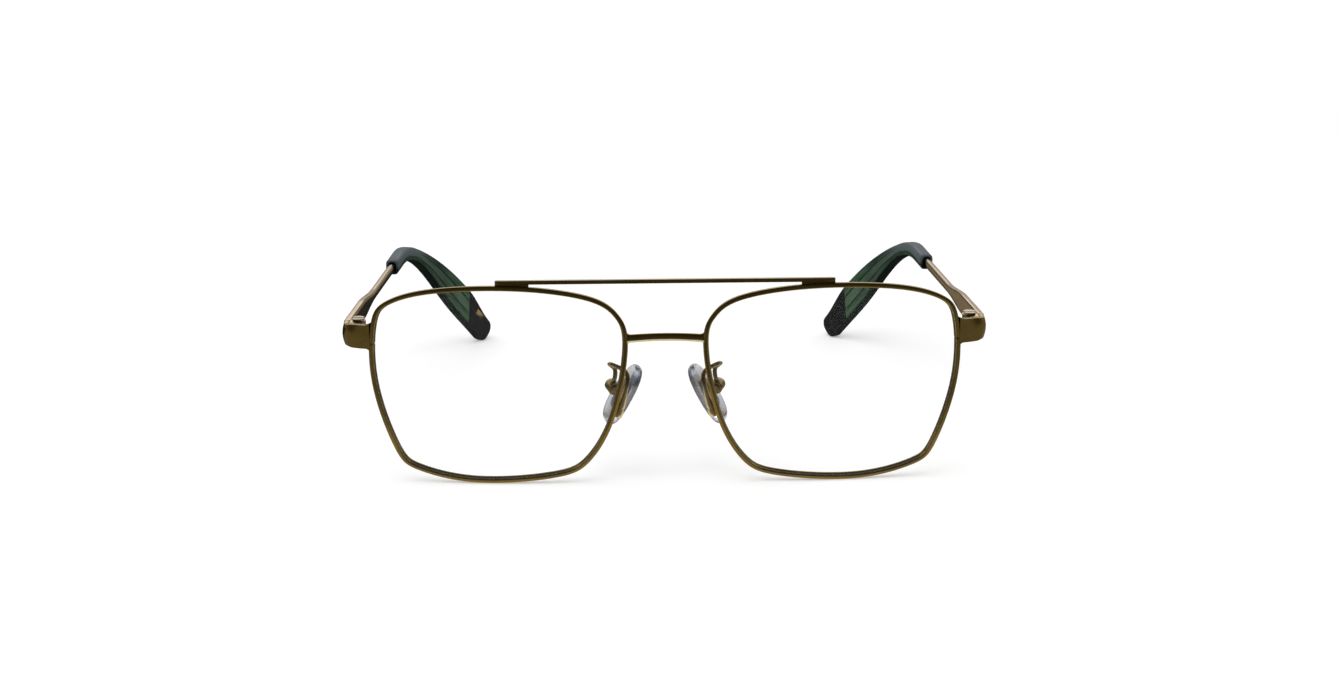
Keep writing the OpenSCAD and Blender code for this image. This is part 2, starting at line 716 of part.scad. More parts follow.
// Hinge: the front leaf has the upper and lower knuckles, the rear leaf the middle one
knuckle_h = (hinge_h - 2 * knuckle_play) / 3;
leg_face = leg_x - butt_t / 2 - pivot[0];
leaf_step = barrel_r + leaf_seat;
module knuckle(low) {
    translate([0, 0, low])
        cylinder(r = barrel_r, h = knuckle_h);
}
module hinge_bore() {
    translate([0, 0, -hinge_h])
        cylinder(d = hinge_screw_d + 2 * screw_play, h = 2 * hinge_h);
}
module hinge_front(side) {
    color(GOLD)
        at_side(side)
            at_hinge()
                difference() {
                    union() {
                        for (low = [-hinge_h / 2, hinge_h / 2 - knuckle_h]) {
                            knuckle(low);
                            translate([0, -leaf_step, low])
                                cube([leg_face - solder, leaf_step - butt_gap, knuckle_h]);
                        }
                        translate([leg_face - solder - leaf_t, -leaf_step, -hinge_h / 2])
                            cube([leaf_t, leaf_step - barrel_r - barrel_gap, hinge_h]);
                    }
                    hinge_bore();
                }
}

// The rear leaf follows the temple, which draws inwards
temple_yaw = atan(temple_draw / temple_len);
butt_face = (temple_root[0] - pivot[0]) * cos(temple_yaw)
    + (butt_gap / 2) * sin(temple_yaw) - butt_t / 2 - solder;
module hinge_rear(side) {
    color(PALE)
        at_side(side)
            at_hinge()
                difference() {
                    union() {
                        knuckle(-knuckle_h / 2);
                        rotate([0, 0, temple_yaw]) {
                            translate([0, barrel_gap, -knuckle_h / 2])
                                cube([butt_face, leaf_step - barrel_gap, knuckle_h]);
                            translate([butt_face - leaf_t, barrel_r + barrel_gap, -knuckle_h])
                                cube([leaf_t, leaf_len - barrel_r - barrel_gap, 2 * knuckle_h]);
                        }
                    }
                    hinge_bore();
                }
}

module hinge_screw(side) {
    color(PALE)
        at_side(side)
            at_hinge()
                rotate([180, 0, 0])
                    translate([0, 0, -hinge_h / 2 - solder])
                        slotted_screw(
                            hinge_screw_d, hinge_h + solder, 2 * (barrel_r - barrel_gap), hinge_head_h
                        );
}

module temple(side) {
    color(PALE)
        at_side(side)
            skin(temple_rings);
}

module temple_tip(side) {
    color([0.16, 0.24, 0.18, 0.9])
        at_side(side)
            skin(tip_rings);
}

// Plaque: a bare plate on the inner face of the left-hand tip
module tip_plaque(side) {
    place = temple_at(temple_end - plaque_up, temple_dip);
    along = place[1];
    inward = unit([-along[1], along[0], 0]);
    up = cross(along, inward);
    flat = tip_t(temple_end - plaque_up) / 2;
    at = place[0] + inward * (flat + solder) + up * plaque_rise;
    color([0.85, 0.76, 0.50])
        at_side(side)
            in_frame(along, up, inward, at)
                translate([-plaque_len / 2, -plaque_w / 2, 0])
                    cube([plaque_len, plaque_w, plaque_t]);
}

module pad_arm(side) {
    color(GOLD)
        at_side(side)
            skin(arm_rings);
}

// Pad box: a round clevis, open towards the nose and below, and closed where the arm lands
module pad_box(side) {
    color(GOLD)
        at_side(side)
            at_box()
                difference() {
                    translate([0, 0, -box_len / 2])
                        cylinder(r = box_r, h = box_len);
                    translate([0, 0, -slot_w / 2]) {
                        cylinder(r = box_r - box_wall, h = slot_w);
                        rotate([0, 0, -45])
                            translate([0, -2 * box_r, 0])
                                cube([2 * box_r, 4 * box_r, slot_w]);
                    }
                    translate([0, 0, -box_len])
                        cylinder(d = pad_screw_d + 2 * screw_play, h = 2 * box_len);
                }
}

module pad_screw(side) {
    color(PALE)
        at_side(side)
            at_box()
                translate([0, 0, -box_len / 2 - solder])
                    slotted_screw(
                        pad_screw_d, box_len + solder, pad_screw_d + 2 * pad_head_step, pad_head_step
                    );
}

// Pad core: a lug in the box, a neck, and an oval plate inside the pad
lug_r = box_r - box_wall - 2 * lug_play;
lug_t = slot_w - 2 * lug_play;
module core_plate(extra) {
    r = plate_w / 2 + extra;
    half = (plate_len - plate_w) / 2;
    translate([pad_reach - plate_t / 2 - extra, -pad_sink, 0])
        rotate([0, 90, 0]) {
            for (y = [-half, half])
                translate([0, y, 0])
                    cylinder(r = r, h = plate_t + 2 * extra);
            translate([-r, -half, 0])
                cube([2 * r, 2 * half, plate_t + 2 * extra]);
        }
}
module core_neck(extra) {
    translate([0, -lug_t / 2 - extra, -lug_t / 2 - extra])
        cube([pad_reach, lug_t + 2 * extra, lug_t + 2 * extra]);
}
module pad_core(side) {
    color([0.35, 0.33, 0.30])
        at_side(side)
            at_box()
                difference() {
                    union() {
                        translate([0, 0, -lug_t / 2])
                            cylinder(r = lug_r, h = lug_t);
                        core_neck(0);
                        core_plate(0);
                    }
                    translate([0, 0, -box_len])
                        cylinder(d = pad_screw_d + 2 * screw_play, h = 2 * box_len);
                }
}

// Nose pad: a soft drop, wider below, round its core
module nose_pad(side) {
    function slice(a) =
        let (
            wide = pad_w / 2 * cos(a) * (1 - pad_widening * sin(a)),
            thick = pad_t / 2 * pow(cos(a), pad_fullness)
        )
        [for (o = oval(16, pad_squareness))
            [pad_reach + thick * o[1], -pad_sink + pad_len / 2 * sin(a), wide * o[0]]];
    color([0.85, 0.85, 0.90, 0.6])
        at_side(side)
            at_box()
                difference() {
                    skin([for (a = [-82.5 : 16.5 : 82.5]) slice(a)]);
                    core_plate(core_play);
                    core_neck(core_play);
                }
}

rim("left");  // rim_left
rim("right");  // rim_right
lens("left");  // lens_left
lens("right");  // lens_right
bridge();
brow_bar();
brow_seat("left");  // brow_seat_left
brow_seat("right");  // brow_seat_right
end_piece("left");  // end_piece_left
end_piece("right");  // end_piece_right
rim_lock("left");  // rim_lock_left
rim_lock("right");  // rim_lock_right
rim_screw("left");  // rim_screw_left
rim_screw("right");  // rim_screw_right
hinge_front("left");  // hinge_front_left
hinge_front("right");  // hinge_front_right
hinge_rear("left");  // hinge_rear_left
hinge_rear("right");  // hinge_rear_right
hinge_screw("left");  // hinge_screw_left
hinge_screw("right");  // hinge_screw_right
temple("left");  // temple_left
temple("right");  // temple_right
temple_tip("left");  // temple_tip_left
temple_tip("right");  // temple_tip_right
tip_plaque("left");  // tip_plaque_left
pad_arm("left");  // pad_arm_left
pad_arm("right");  // pad_arm_right
pad_box("left");  // pad_box_left
pad_box("right");  // pad_box_right
pad_screw("left");  // pad_screw_left
pad_screw("right");  // pad_screw_right
pad_core("left");  // pad_core_left
pad_core("right");  // pad_core_right
nose_pad("left");  // nose_pad_left
nose_pad("right");  // nose_pad_right
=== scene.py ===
"""Metal spectacles with a straight brow bar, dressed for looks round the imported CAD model."""

import json
import math

import bmesh
import bpy
import numpy as np
from mathutils import Matrix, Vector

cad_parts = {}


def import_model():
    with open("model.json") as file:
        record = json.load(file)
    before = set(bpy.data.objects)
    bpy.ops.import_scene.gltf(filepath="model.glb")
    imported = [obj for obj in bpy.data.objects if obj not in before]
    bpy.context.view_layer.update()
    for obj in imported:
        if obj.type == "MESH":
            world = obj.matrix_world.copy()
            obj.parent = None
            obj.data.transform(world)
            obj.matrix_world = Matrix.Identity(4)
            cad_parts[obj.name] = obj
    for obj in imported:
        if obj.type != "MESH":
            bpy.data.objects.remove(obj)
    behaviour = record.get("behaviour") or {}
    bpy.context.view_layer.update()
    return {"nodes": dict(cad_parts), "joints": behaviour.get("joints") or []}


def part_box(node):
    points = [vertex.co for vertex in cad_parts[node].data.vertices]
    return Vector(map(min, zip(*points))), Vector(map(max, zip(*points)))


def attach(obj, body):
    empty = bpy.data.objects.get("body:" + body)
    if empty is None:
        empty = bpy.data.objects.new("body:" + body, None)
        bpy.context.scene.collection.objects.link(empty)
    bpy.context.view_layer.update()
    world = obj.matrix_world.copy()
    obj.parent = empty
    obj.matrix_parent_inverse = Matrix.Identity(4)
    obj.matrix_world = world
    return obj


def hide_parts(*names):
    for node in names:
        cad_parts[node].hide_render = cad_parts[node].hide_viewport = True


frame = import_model()

MM = 0.001
SIDES = ("left", "right")

# Front, in mm: the same named sizes as in the CAD source
LENS_W, LENS_H, LENS_GAP = 56.4, 45.6, 18.0
BASE_R = 120.0
LEAN, WRAP = math.radians(6), math.radians(3)
RIM_W, RIM_D, GROOVE_D, GROOVE_HALF, RIM_CUT = 1.1, 1.8, 0.5, 0.4, 0.3
LENS_T, LENS_PLAY = 1.5, 0.06
BRIDGE_RISE, BRIDGE_H, BRIDGE_D, BRIDGE_ARCH, BRIDGE_BOW = 10.7, 1.8, 1.6, 0.6, 1.0
END_RISE, END_REACH, END_H, END_T, END_TURN, END_CROWN = 11.1, 6.3, 5.4, 1.8, 2.4, 0.65
HINGE_BACK, SOLDER, CUT_DROP = 5.9, 0.03, 1.6
# Temples and tips, in mm
TEMPLE_LEN, DROP_LEN = 100.0, 44.5
DROP_ANGLE, DROP_LEAN = math.radians(51), math.radians(24.5)
TEMPLE_DRAW, BEND_RUN = 5.5, 20.0
BUTT_H, BUTT_T, BUTT_GAP, BUTT_LEN, TAPER_LEN = 4.7, 1.5, 0.1, 19.0, 19.0
SHANK_H, SHANK_T = 2.3, 1.5
TIP_START, MOUTH_H, MOUTH_T, MOUTH_LIP, MOUTH_DEPTH = 68.0, 3.6, 3.0, 0.4, 2.0
PADDLE_H, PADDLE_UP, TIP_END_H, TIP_SKEW, PADDLE_T = 8.0, 16.0, 6.2, 0.8, 3.1
CORE_SHORT, CORE_PLAY = 13.0, 0.05
# Nose pads and their arms, in mm
PAD_LEN, PAD_W, PAD_T, PAD_SINK, PAD_CLEAR = 15.0, 7.8, 3.0, 0.7, 0.25
BOX_R = 1.5
PAD_FRONTAL, PAD_SPLAY = math.radians(30), math.radians(26)
FOOT_RISE, FOOT_BACK, ARM_D, ARM_FOOT_D = -7.6, 0.4, 1.0, 1.5
LAND_ANGLE = math.radians(18)
# How far soldered pieces of the visual model sink into each other, and how far a fillet spreads
SINK, FILLET = 0.35, 0.45
BRIDGE_FILLET_RUN, BRIDGE_FILLET_DEPTH, END_FILLET_RUN = 1.3, 0.3, 1.1

# The poles of the lens outline, from its outer side over the top to the nose and back below
OUTLINE_POLES = np.array([
    (29.5, 0), (28.5, 15.5), (26, 18.5), (17, 22), (-4.5, 23), (-22, 20), (-26, 15.5),
    (-28.5, 11), (-25, -9.5), (-18.5, -19.5), (-14, -22), (8, -24), (21, -20), (23.5, -18),
])
POLES = len(OUTLINE_POLES)
# The stretches between poles that hold the outer side and the nose side
OUTER_STRETCH, NOSE_STRETCH = (0, 1.6), (6, 9)
# Steps between two poles: to measure the outline, for a rim wire and for a lens
MEASURE_STEPS, RIM_STEPS, LENS_STEPS = 12, 18, 8
HALVINGS, NEARBY = 24, 0.01


# Vectors and curves
def vec(*values):
    return np.array(values, float)


def unit(v):
    return v / np.linalg.norm(v)


def mix(a, b, k):
    return a + (b - a) * k


def ease(k):
    k = min(max(k, 0.0), 1.0)
    return k * k * (3 - 2 * k)


def steps(low, high, count):
    return [mix(low, high, i / count) for i in range(count + 1)]


def fade(i, first, last):
    """0 up to first, 1 from last, smooth between."""
    return ease((i - first) / (last - first))


def square_to(v, along):
    return unit(v - (v @ along) * along)


def spline_point(a, b, c, d, f):
    return (
        a * (1 - f) ** 3 + b * (3 * f**3 - 6 * f * f + 4)
        + c * (-3 * f**3 + 3 * f * f + 3 * f + 1) + d * f**3
    ) / 6


# Lens outline, and the curved, leaning front; z is from the middle of the lenses
def raw_outline(t):
    i = math.floor(t)
    return spline_point(*(OUTLINE_POLES[(i + k) % POLES] for k in (-1, 0, 1, 2)), t - i)


RAW = np.array([raw_outline(i / MEASURE_STEPS) for i in range(MEASURE_STEPS * POLES)])
OUTLINE_SCALE = vec(LENS_W, LENS_H) / (RAW.max(axis=0) - RAW.min(axis=0))
OUTLINE_MID = (RAW.min(axis=0) + RAW.max(axis=0)) / 2
EYE_X = (LENS_GAP + LENS_W) / 2


def outline(t):
    return (raw_outline(t) - OUTLINE_MID) * OUTLINE_SCALE


def place_where(low, high, test):
    """The place on the outline between low and high where test turns from true to false."""
    for _ in range(HALVINGS):
        middle = (low + high) / 2
        low, high = (middle, high) if test(outline(middle)) else (low, middle)
    return (low + high) / 2


def outer_t(z):
    return place_where(*OUTER_STRETCH, lambda p: p[1] < z)


def nose_t(z):
    return place_where(*NOSE_STRETCH, lambda p: p[1] > z)


def front_y(x, z):
    return (x * x + z * z) / (2 * BASE_R) + x * math.tan(WRAP) - z * math.tan(LEAN)


def front_normal(x, z):
    return unit(vec(x / BASE_R + math.tan(WRAP), -1, z / BASE_R - math.tan(LEAN)))


def on_front(x, z, n):
    return vec(EYE_X + x, front_y(x, z), z) + n * front_normal(x, z)


def rim_axes(t):
    """Middle, outward direction and front direction of the rim at a place on the outline."""
    p, nearby = outline(t), outline(t + NEARBY)
    normal = front_normal(*p)
    along = square_to(on_front(*nearby, 0) - on_front(*p, 0), normal)
    return on_front(*p, 0), np.cross(along, normal), normal


def beside(t, b, n):
    """A point by the rim at a place on the outline: b outward of its groove and n to the front."""
    middle, outward, normal = rim_axes(t)
    return middle + b * outward + n * normal


RIM_OUT, HALF_D = RIM_W - GROOVE_D, RIM_D / 2
CUT_Z = END_RISE - CUT_DROP
CUT_T = (outer_t(CUT_Z - RIM_CUT / 2), outer_t(CUT_Z + RIM_CUT / 2))


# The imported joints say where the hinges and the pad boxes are, and so where all the rest is
PIVOT, BOX_AT = (
    next(np.array(j["pos_m"]) for j in frame["joints"] if j["name"] == name) / MM
    for name in ("right_temple_fold", "right_pad_rock")
)


def end_edge_x(way):
    """How far out the outline is at the upper (1) or lower (-1) edge of the end piece."""
    return outline(outer_t(END_RISE + way * END_H / 2))[0]


END_BULGE = outline(outer_t(END_RISE))[0] - (end_edge_x(1) + end_edge_x(-1)) / 2
END_OFFSET = RIM_OUT + SOLDER + max(0, END_BULGE)
END_ROOT = beside(outer_t(END_RISE), END_OFFSET, 0)
SHIFT = vec(0, PIVOT[1] - END_ROOT[1] - HINGE_BACK, PIVOT[2] - END_RISE)


# Sections, as rings of points about a line: (side, up) when round, and again when square
def superellipse(points, power):
    ring = []
    for i in range(points):
        a = 2 * math.pi * (i + 0.5) / points
        c, s = math.cos(a), math.sin(a)
        ring.append(vec(c, s) / (abs(c) ** power + abs(s) ** power) ** (1 / power))
    ring = np.array(ring)
    return ring / ring.max(axis=0)


def rounded(corners, points):
    """A polygon whose corners (x, y, radius) are rounded."""
    ring = []
    for i, (x, y, r) in enumerate(corners):
        here = vec(x, y)
        if r == 0:
            ring.append(here)
            continue
        before = here + r * unit(vec(*corners[i - 1][:2]) - here)
        after = here + r * unit(vec(*corners[(i + 1) % len(corners)][:2]) - here)
        for k in steps(0, 1, points - 1):
            ring.append(mix(mix(before, here, k), mix(here, after, k), k))
    return np.array(ring)


RIM_SECTION = rounded([
    (0, 0, 0), (-GROOVE_D, GROOVE_HALF, 0), (-GROOVE_D, HALF_D, 0.45), (RIM_OUT, HALF_D, 0.62),
    (RIM_OUT, -HALF_D, 0.5), (-GROOVE_D, -HALF_D, 0.3), (-GROOVE_D, -GROOVE_HALF, 0),
], points=7)
# Points and power: 2 gives an ellipse, and more a squarer section
BUTT_SECTION, SHANK_SECTION = superellipse(32, 7), superellipse(32, 3)
TIP_SOFT, TIP_FLAT = superellipse(40, 3.0), superellipse(40, 5.5)
BRIDGE_SECTION, BAR_SECTION = superellipse(28, 2.3), superellipse(32, 9)
ARM_SECTION, PAD_SECTION = superellipse(16, 2), superellipse(32, 2.5)


# Geometry Nodes: a section that follows a line, with its own axes and size at each of its places
def follow_tree():
    tree = bpy.data.node_groups.new("section_along_line", "GeometryNodeTree")
    face = tree.interface
    face.new_socket("Line", in_out="INPUT", socket_type="NodeSocketGeometry")
    face.new_socket("Section", in_out="INPUT", socket_type="NodeSocketObject")
    face.new_socket("Finish", in_out="INPUT", socket_type="NodeSocketMaterial")
    face.new_socket("Solid", in_out="OUTPUT", socket_type="NodeSocketGeometry")

    def add(kind, settings=(), **links):
        """! stands before a full kind, and _ before the number of an input without a name."""
        node = tree.nodes.new("GeometryNode" + kind if kind[0] != "!" else kind[1:])
        for key, value in dict(settings).items():
            setattr(node, key, value)
        for key, value in links.items():
            name = int(key[1:]) if key[0] == "_" else key.replace("_", " ")
            if hasattr(value, "is_output"):
                tree.links.new(value, node.inputs[name])
            else:
                node.inputs[name].default_value = value
        return node

    def read(name, kind="FLOAT_VECTOR"):
        return add("InputNamedAttribute", {"data_type": kind}, Name=name).outputs["Attribute"]

    def vector(operation, a, b):
        node = add("!ShaderNodeVectorMath", {"operation": operation}, _0=a)
        tree.links.new(b, node.inputs["Scale" if operation == "SCALE" else 1])
        return node.outputs["Vector"]

    given = tree.nodes.new("NodeGroupInput").outputs
    section = add("ObjectInfo", Object=given["Section"]).outputs["Geometry"]
    solid = add(
        "CurveToMesh",
        Curve=add("MeshToCurve", Mesh=given["Line"]).outputs["Curve"],
        Profile_Curve=add("MeshToCurve", Mesh=section).outputs["Curve"],
        Fill_Caps=True,
    )
    round_part, square_part = read("across"), read("corner")
    spread = vector("SUBTRACT", square_part, round_part)
    spread = vector("SCALE", spread, read("square", "FLOAT"))
    flat = vector("MULTIPLY", vector("ADD", round_part, spread), read("size"))
    parts = add("!ShaderNodeSeparateXYZ", Vector=flat).outputs
    place = vector("ADD", read("place"), vector("SCALE", read("side"), parts["X"]))
    place = vector("ADD", place, vector("SCALE", read("up"), parts["Y"]))
    moved = add("SetPosition", Geometry=solid.outputs["Mesh"], Position=place)
    whole = add("RealizeInstances", Geometry=moved.outputs["Geometry"])
    done = add("SetMaterial", Geometry=whole.outputs["Geometry"], Material=given["Finish"])
    tree.links.new(done.outputs["Geometry"], tree.nodes.new("NodeGroupOutput").inputs["Solid"])
    return tree


FOLLOW = follow_tree()


def new_object(name, mesh):
    piece = bpy.data.objects.new(name, mesh)
    bpy.context.scene.collection.objects.link(piece)
    return piece


def store(mesh, name, kind, values):
    layer = mesh.attributes.new(name, kind, "POINT")
    key = "vector" if kind == "FLOAT_VECTOR" else "value"
    layer.data.foreach_set(key, np.array(values, np.float32).ravel())


def closed_edges(count):
    return [(i, (i + 1) % count) for i in range(count)]


def final_mesh(piece):
    """The piece's mesh with its modifiers applied, in place of the first one."""
    graph = bpy.context.evaluated_depsgraph_get()
    mesh = bpy.data.meshes.new_from_object(
        piece.evaluated_get(graph), preserve_all_data_layers=True, depsgraph=graph
    )
    piece.modifiers.clear()
    piece.data = mesh
    return mesh


def face_out(mesh):
    """Turns a closed mesh right side out, if its volume comes out below zero."""
    form = bmesh.new()
    form.from_mesh(mesh)
    if form.calc_volume(signed=True) < 0:
        bmesh.ops.reverse_faces(form, faces=form.faces[:])
    form.to_mesh(mesh)
    form.free()


def shade(mesh, angle=35):
    """Smooth, but for edges sharper than the angle, in degrees."""
    mesh.shade_smooth()
    mesh.set_sharp_from_angle(angle=math.radians(angle))


def follow_line(name, rows, section, finish, square_section=None):
    """A solid along a line. Each row: place, side axis, up axis, half sizes, squareness, way."""
    square_section = section if square_section is None else square_section
    ring = bpy.data.meshes.new(name + "_section")
    ring.from_pydata([(*p, 0) for p in section], closed_edges(len(section)), [])
    store(ring, "across", "FLOAT_VECTOR", [(*p, 0) for p in section])
    store(ring, "corner", "FLOAT_VECTOR", [(*p, 0) for p in square_section])
    ring_piece = new_object(name + "_section", ring)

    line = bpy.data.meshes.new(name)
    line.from_pydata(
        [(0, 0, MM * i) for i in range(len(rows))],
        [(i, i + 1) for i in range(len(rows) - 1)], [],
    )
    store(line, "place", "FLOAT_VECTOR", [row[0] * MM for row in rows])
    store(line, "side", "FLOAT_VECTOR", [row[1] for row in rows])
    store(line, "up", "FLOAT_VECTOR", [row[2] for row in rows])
    store(line, "size", "FLOAT_VECTOR", [(row[3][0] * MM, row[3][1] * MM, 0) for row in rows])
    store(line, "square", "FLOAT", [row[4] for row in rows])
    store(line, "way", "FLOAT", [row[5] for row in rows])
    piece = new_object(name, line)
    nodes = piece.modifiers.new("follow", "NODES")
    nodes.node_group = FOLLOW
    given = {item.name: item.identifier for item in FOLLOW.interface.items_tree}
    nodes[given["Section"]] = ring_piece
    nodes[given["Finish"]] = finish
    mesh = final_mesh(piece)
    bpy.data.objects.remove(ring_piece)
    bpy.data.meshes.remove(ring)
    bpy.data.meshes.remove(line)
    for used in ("place", "side", "up", "size", "square", "corner"):
        mesh.attributes.remove(mesh.attributes[used])
    face_out(mesh)
    shade(mesh)
    return piece


def mirrored(piece, name):
    """The mirror image of a right-hand piece, for the left-hand side."""
    mesh = piece.data.copy()
    mesh.transform(Matrix.Diagonal((-1, 1, 1, 1)))
    mesh.flip_normals()
    return new_object(name, mesh)


def hand_over(piece, body, slot, *nodes):
    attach(piece, body)
    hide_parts(*nodes)


def both_sides(make, name, node, body, slot):
    """Makes the right-hand piece and its mirror image; {} in a name stands for the side."""
    right = make(name.format("right"))
    for side in SIDES:
        piece = right if side == "right" else mirrored(right, name.format("left"))
        hand_over(piece, body.format(side), slot, node.format(side))


# Shader maths, as expressions on wrapped sockets
class Value:
    def __init__(self, paint, socket):
        self.paint = paint
        self.socket = socket

    def maths(self, operation, *values):
        return self.paint.add("Math", {"operation": operation}, dict(enumerate(values)))

    def __add__(self, other):
        return self.maths("ADD", self, other)

    def __sub__(self, other):
        return self.maths("SUBTRACT", self, other)

    def __rsub__(self, other):
        return self.maths("SUBTRACT", other, self)

    def __mul__(self, other):
        return self.maths("MULTIPLY", self, other)

    def __abs__(self):
        return self.maths("ABSOLUTE", self)

    __radd__, __rmul__ = __add__, __mul__

    def over(self, low, high):
        """0 below low, 1 above high, smooth between."""
        settings = {"interpolation_type": "SMOOTHSTEP"}
        values = {"Value": self, "From Min": low, "From Max": high}
        return self.paint.add("MapRange", settings, values, "Result")

    def near(self, middle, reach, soft):
        """1 within reach of a middle, 0 beyond a soft edge."""
        return 1 - abs(self - middle).over(reach, reach + soft)


# A Mix node's sockets for colours
MIX_FACTOR, MIX_A, MIX_B, MIX_RESULT = 0, 6, 7, 2


class Paint:
    """The node tree of a material or of the world."""

    def __init__(self, owner):
        self.owner = owner
        owner.use_nodes = True
        self.tree = owner.node_tree
        self.tree.nodes.clear()

    def add(self, kind, settings=(), values=(), output=0):
        node = self.tree.nodes.new("ShaderNode" + kind)
        for key, value in dict(settings).items():
            setattr(node, key, value)
        for key, value in dict(values).items():
            if isinstance(value, Value):
                self.tree.links.new(value.socket, node.inputs[key])
            else:
                node.inputs[key].default_value = value
        return Value(self, node.outputs[output]) if node.outputs else None

    def place(self):
        return self.add("TexCoord", output="Object")

    def attribute(self, name, output):
        return self.add("Attribute", {"attribute_name": name}, output=output)

    def parts(self, vector):
        node = self.add("SeparateXYZ", {}, {0: vector}).socket.node
        return [Value(self, node.outputs[i]) for i in range(3)]

    def noise(self, scale, detail, rough=0.55, place=None):
        place = place or self.place()
        values = {"Vector": place, "Scale": scale, "Detail": detail, "Roughness": rough}
        return self.add("TexNoise", {}, values)

    def blend(self, factor, a, b):
        """A colour between a and b."""
        a, b = ((*c, 1) if isinstance(c, tuple) else c for c in (a, b))
        values = {MIX_FACTOR: factor, MIX_A: a, MIX_B: b}
        return self.add("Mix", {"data_type": "RGBA"}, values, MIX_RESULT)

    def bump(self, height, distance, strength):
        values = {"Height": height, "Distance": distance, "Strength": strength}
        return self.add("Bump", {}, values)

    def finish(self, shader):
        kind = "World" if isinstance(self.owner, bpy.types.World) else "Material"
        self.add("Output" + kind, {}, {"Surface": shader})
        return self.owner


def new_paint(name):
    return Paint(bpy.data.materials.new(name))


# Noise scales, per metre
CLOUDS, HAZE, PITS = 170, 1400, 6500


def metal(name, tones, rough, coat, patina=0.5, grain=1.0, lighter_tone=None, where=None):
    """Plated metal: cloudy toning, fine polishing haze and small pits, and a lighter tone where
    asked: a painted highlight or a lighter foot.
    """
    paint = new_paint(name)
    clouds = paint.noise(CLOUDS, 4, 0.6)
    haze = paint.noise(HAZE, 4, 0.65)
    pits = paint.noise(PITS, 2, 0.5)
    toning = clouds.over(0.35, 0.7) * patina + haze.over(0.45, 0.75) * 0.25
    colour = paint.blend(toning, *tones)
    # A lighter tone where asked: a painted highlight along the bridge's underside, or the lighter
    # pressed foot of a pad arm
    if lighter_tone:
        colour = paint.blend(where(paint) * (0.7 + haze * 0.5), colour, lighter_tone)
    shader = paint.add("BsdfPrincipled", {}, {
        "Base Color": colour,
        "Metallic": 1.0,
        "Roughness": haze * 0.16 + clouds * 0.06 + (rough - 0.11),
        "Coat Weight": coat,
        "Coat Roughness": 0.06,
        "Coat IOR": 1.45,
        "Normal": paint.bump(haze * 0.6 + pits * 0.4, 0.00002 * grain, 0.5),
    })
    return paint.finish(shader)


ANTIQUE_TONES = (0.24, 0.163, 0.042), (0.155, 0.102, 0.022)
CHAMPAGNE_TONES = (0.34, 0.255, 0.165), (0.24, 0.175, 0.11)
BRIGHT_TONES = (0.78, 0.66, 0.38), (0.60, 0.49, 0.26)
STEEL_TONES = (0.42, 0.37, 0.29), (0.24, 0.205, 0.155)
WORN_TONES = (0.36, 0.265, 0.105), (0.23, 0.165, 0.062)
ARM_TONES = (0.30, 0.22, 0.085), (0.19, 0.135, 0.05)
# A darker copy of the antique gold, as painted shade on the pad boxes and their screws
SHADED_GOLD_TONES = (0.155, 0.11, 0.032), (0.10, 0.07, 0.02)
STAMPED_TONES = (0.12, 0.11, 0.095), (0.06, 0.055, 0.05)
# Lighter tones: a painted highlight for the bridge's lower edge, and the pressed foot of the pad
# arms
PAINTED_HIGHLIGHT_TONE, FOOT_LIGHT_TONE = (0.90, 0.79, 0.52), (0.85, 0.68, 0.36)

ANTIQUE = metal("antique_gold_plate", ANTIQUE_TONES, 0.18, 0.08)
CHAMPAGNE = metal("champagne_plate", CHAMPAGNE_TONES, 0.12, 0.05)
BRIGHT = metal("bright_gold_plate", BRIGHT_TONES, 0.24, 0.2, patina=0.35)
TURNED = metal("turned_steel", STEEL_TONES, 0.26, 0.1, patina=0.6, grain=1.6)
WORN = metal("worn_gold_plate", WORN_TONES, 0.2, 0.1)
# Painted shade: the darker copy of the antique gold
SHADED_GOLD = metal("shaded_gold_plate", SHADED_GOLD_TONES, 0.24, 0.05)
STAMPED = metal("stamped_core", STAMPED_TONES, 0.34, 0.1, patina=0.6, grain=1.6)


def underside(paint):
    """1 along the lower edge of a piece that follows a line, where the bridge gets a painted
    highlight.
    """
    return 1 - paint.parts(paint.attribute("across", "Vector"))[1].over(-0.62, -0.1)


def pressed_foot(paint):
    """1 on the pressed foot of a pad arm."""
    return 1 - paint.attribute("way", "Fac").over(5.5, 8.5)


# The bridge's lower edge gets a painted highlight: a pale gold reflection painted into its colour
HIGHLIGHT_BELOW = metal(
    "antique_gold_painted_highlight_below", ANTIQUE_TONES, 0.18, 0.08, lighter_tone=PAINTED_HIGHLIGHT_TONE, where=underside
)
# The pressed foot of each pad arm is a lighter tone
LIGHTER_FOOT = metal(
    "worn_gold_lighter_foot", ARM_TONES, 0.2, 0.1, lighter_tone=FOOT_LIGHT_TONE, where=pressed_foot
)


# Temple line, in the frame's own mm
LEG_X = END_ROOT[0] + END_REACH - BUTT_T / 2
TEMPLE_ROOT = vec(LEG_X, PIVOT[1] + BUTT_GAP / 2, PIVOT[2])
DROP_DIR = unit(vec(-math.tan(DROP_LEAN), math.cos(DROP_ANGLE), -math.sin(DROP_ANGLE)))
EAR = TEMPLE_ROOT + vec(-TEMPLE_DRAW, TEMPLE_LEN, 0)
EAR_DIR = unit(EAR - TEMPLE_ROOT)
BEND_START = np.linalg.norm(EAR - TEMPLE_ROOT) - BEND_RUN
BEND_LEN = 2 * BEND_RUN * math.cos(math.acos(EAR_DIR @ DROP_DIR) / 4)
TEMPLE_END = BEND_START + BEND_LEN + DROP_LEN - BEND_RUN
TIP_END_RUN = TIP_END_H / 2
PADDLE_AT = TEMPLE_END - PADDLE_UP
GROW_FROM, THICK_RUN = BEND_START + 0.4 * BEND_LEN, 20
CORE_END = TEMPLE_END - CORE_SHORT
# The least size of a section, and how square the tip's sections are at its very end
LEAST, END_SQUARE = 0.05, 0.35
# Where the tip turns lighter, where painted shade turns it charcoal, and how far that joint slants
PADDLE_SHADE = BEND_START + BEND_LEN - 8
TIP_SHADE, TIP_SLANT = CORE_END - 0.5, 3.4


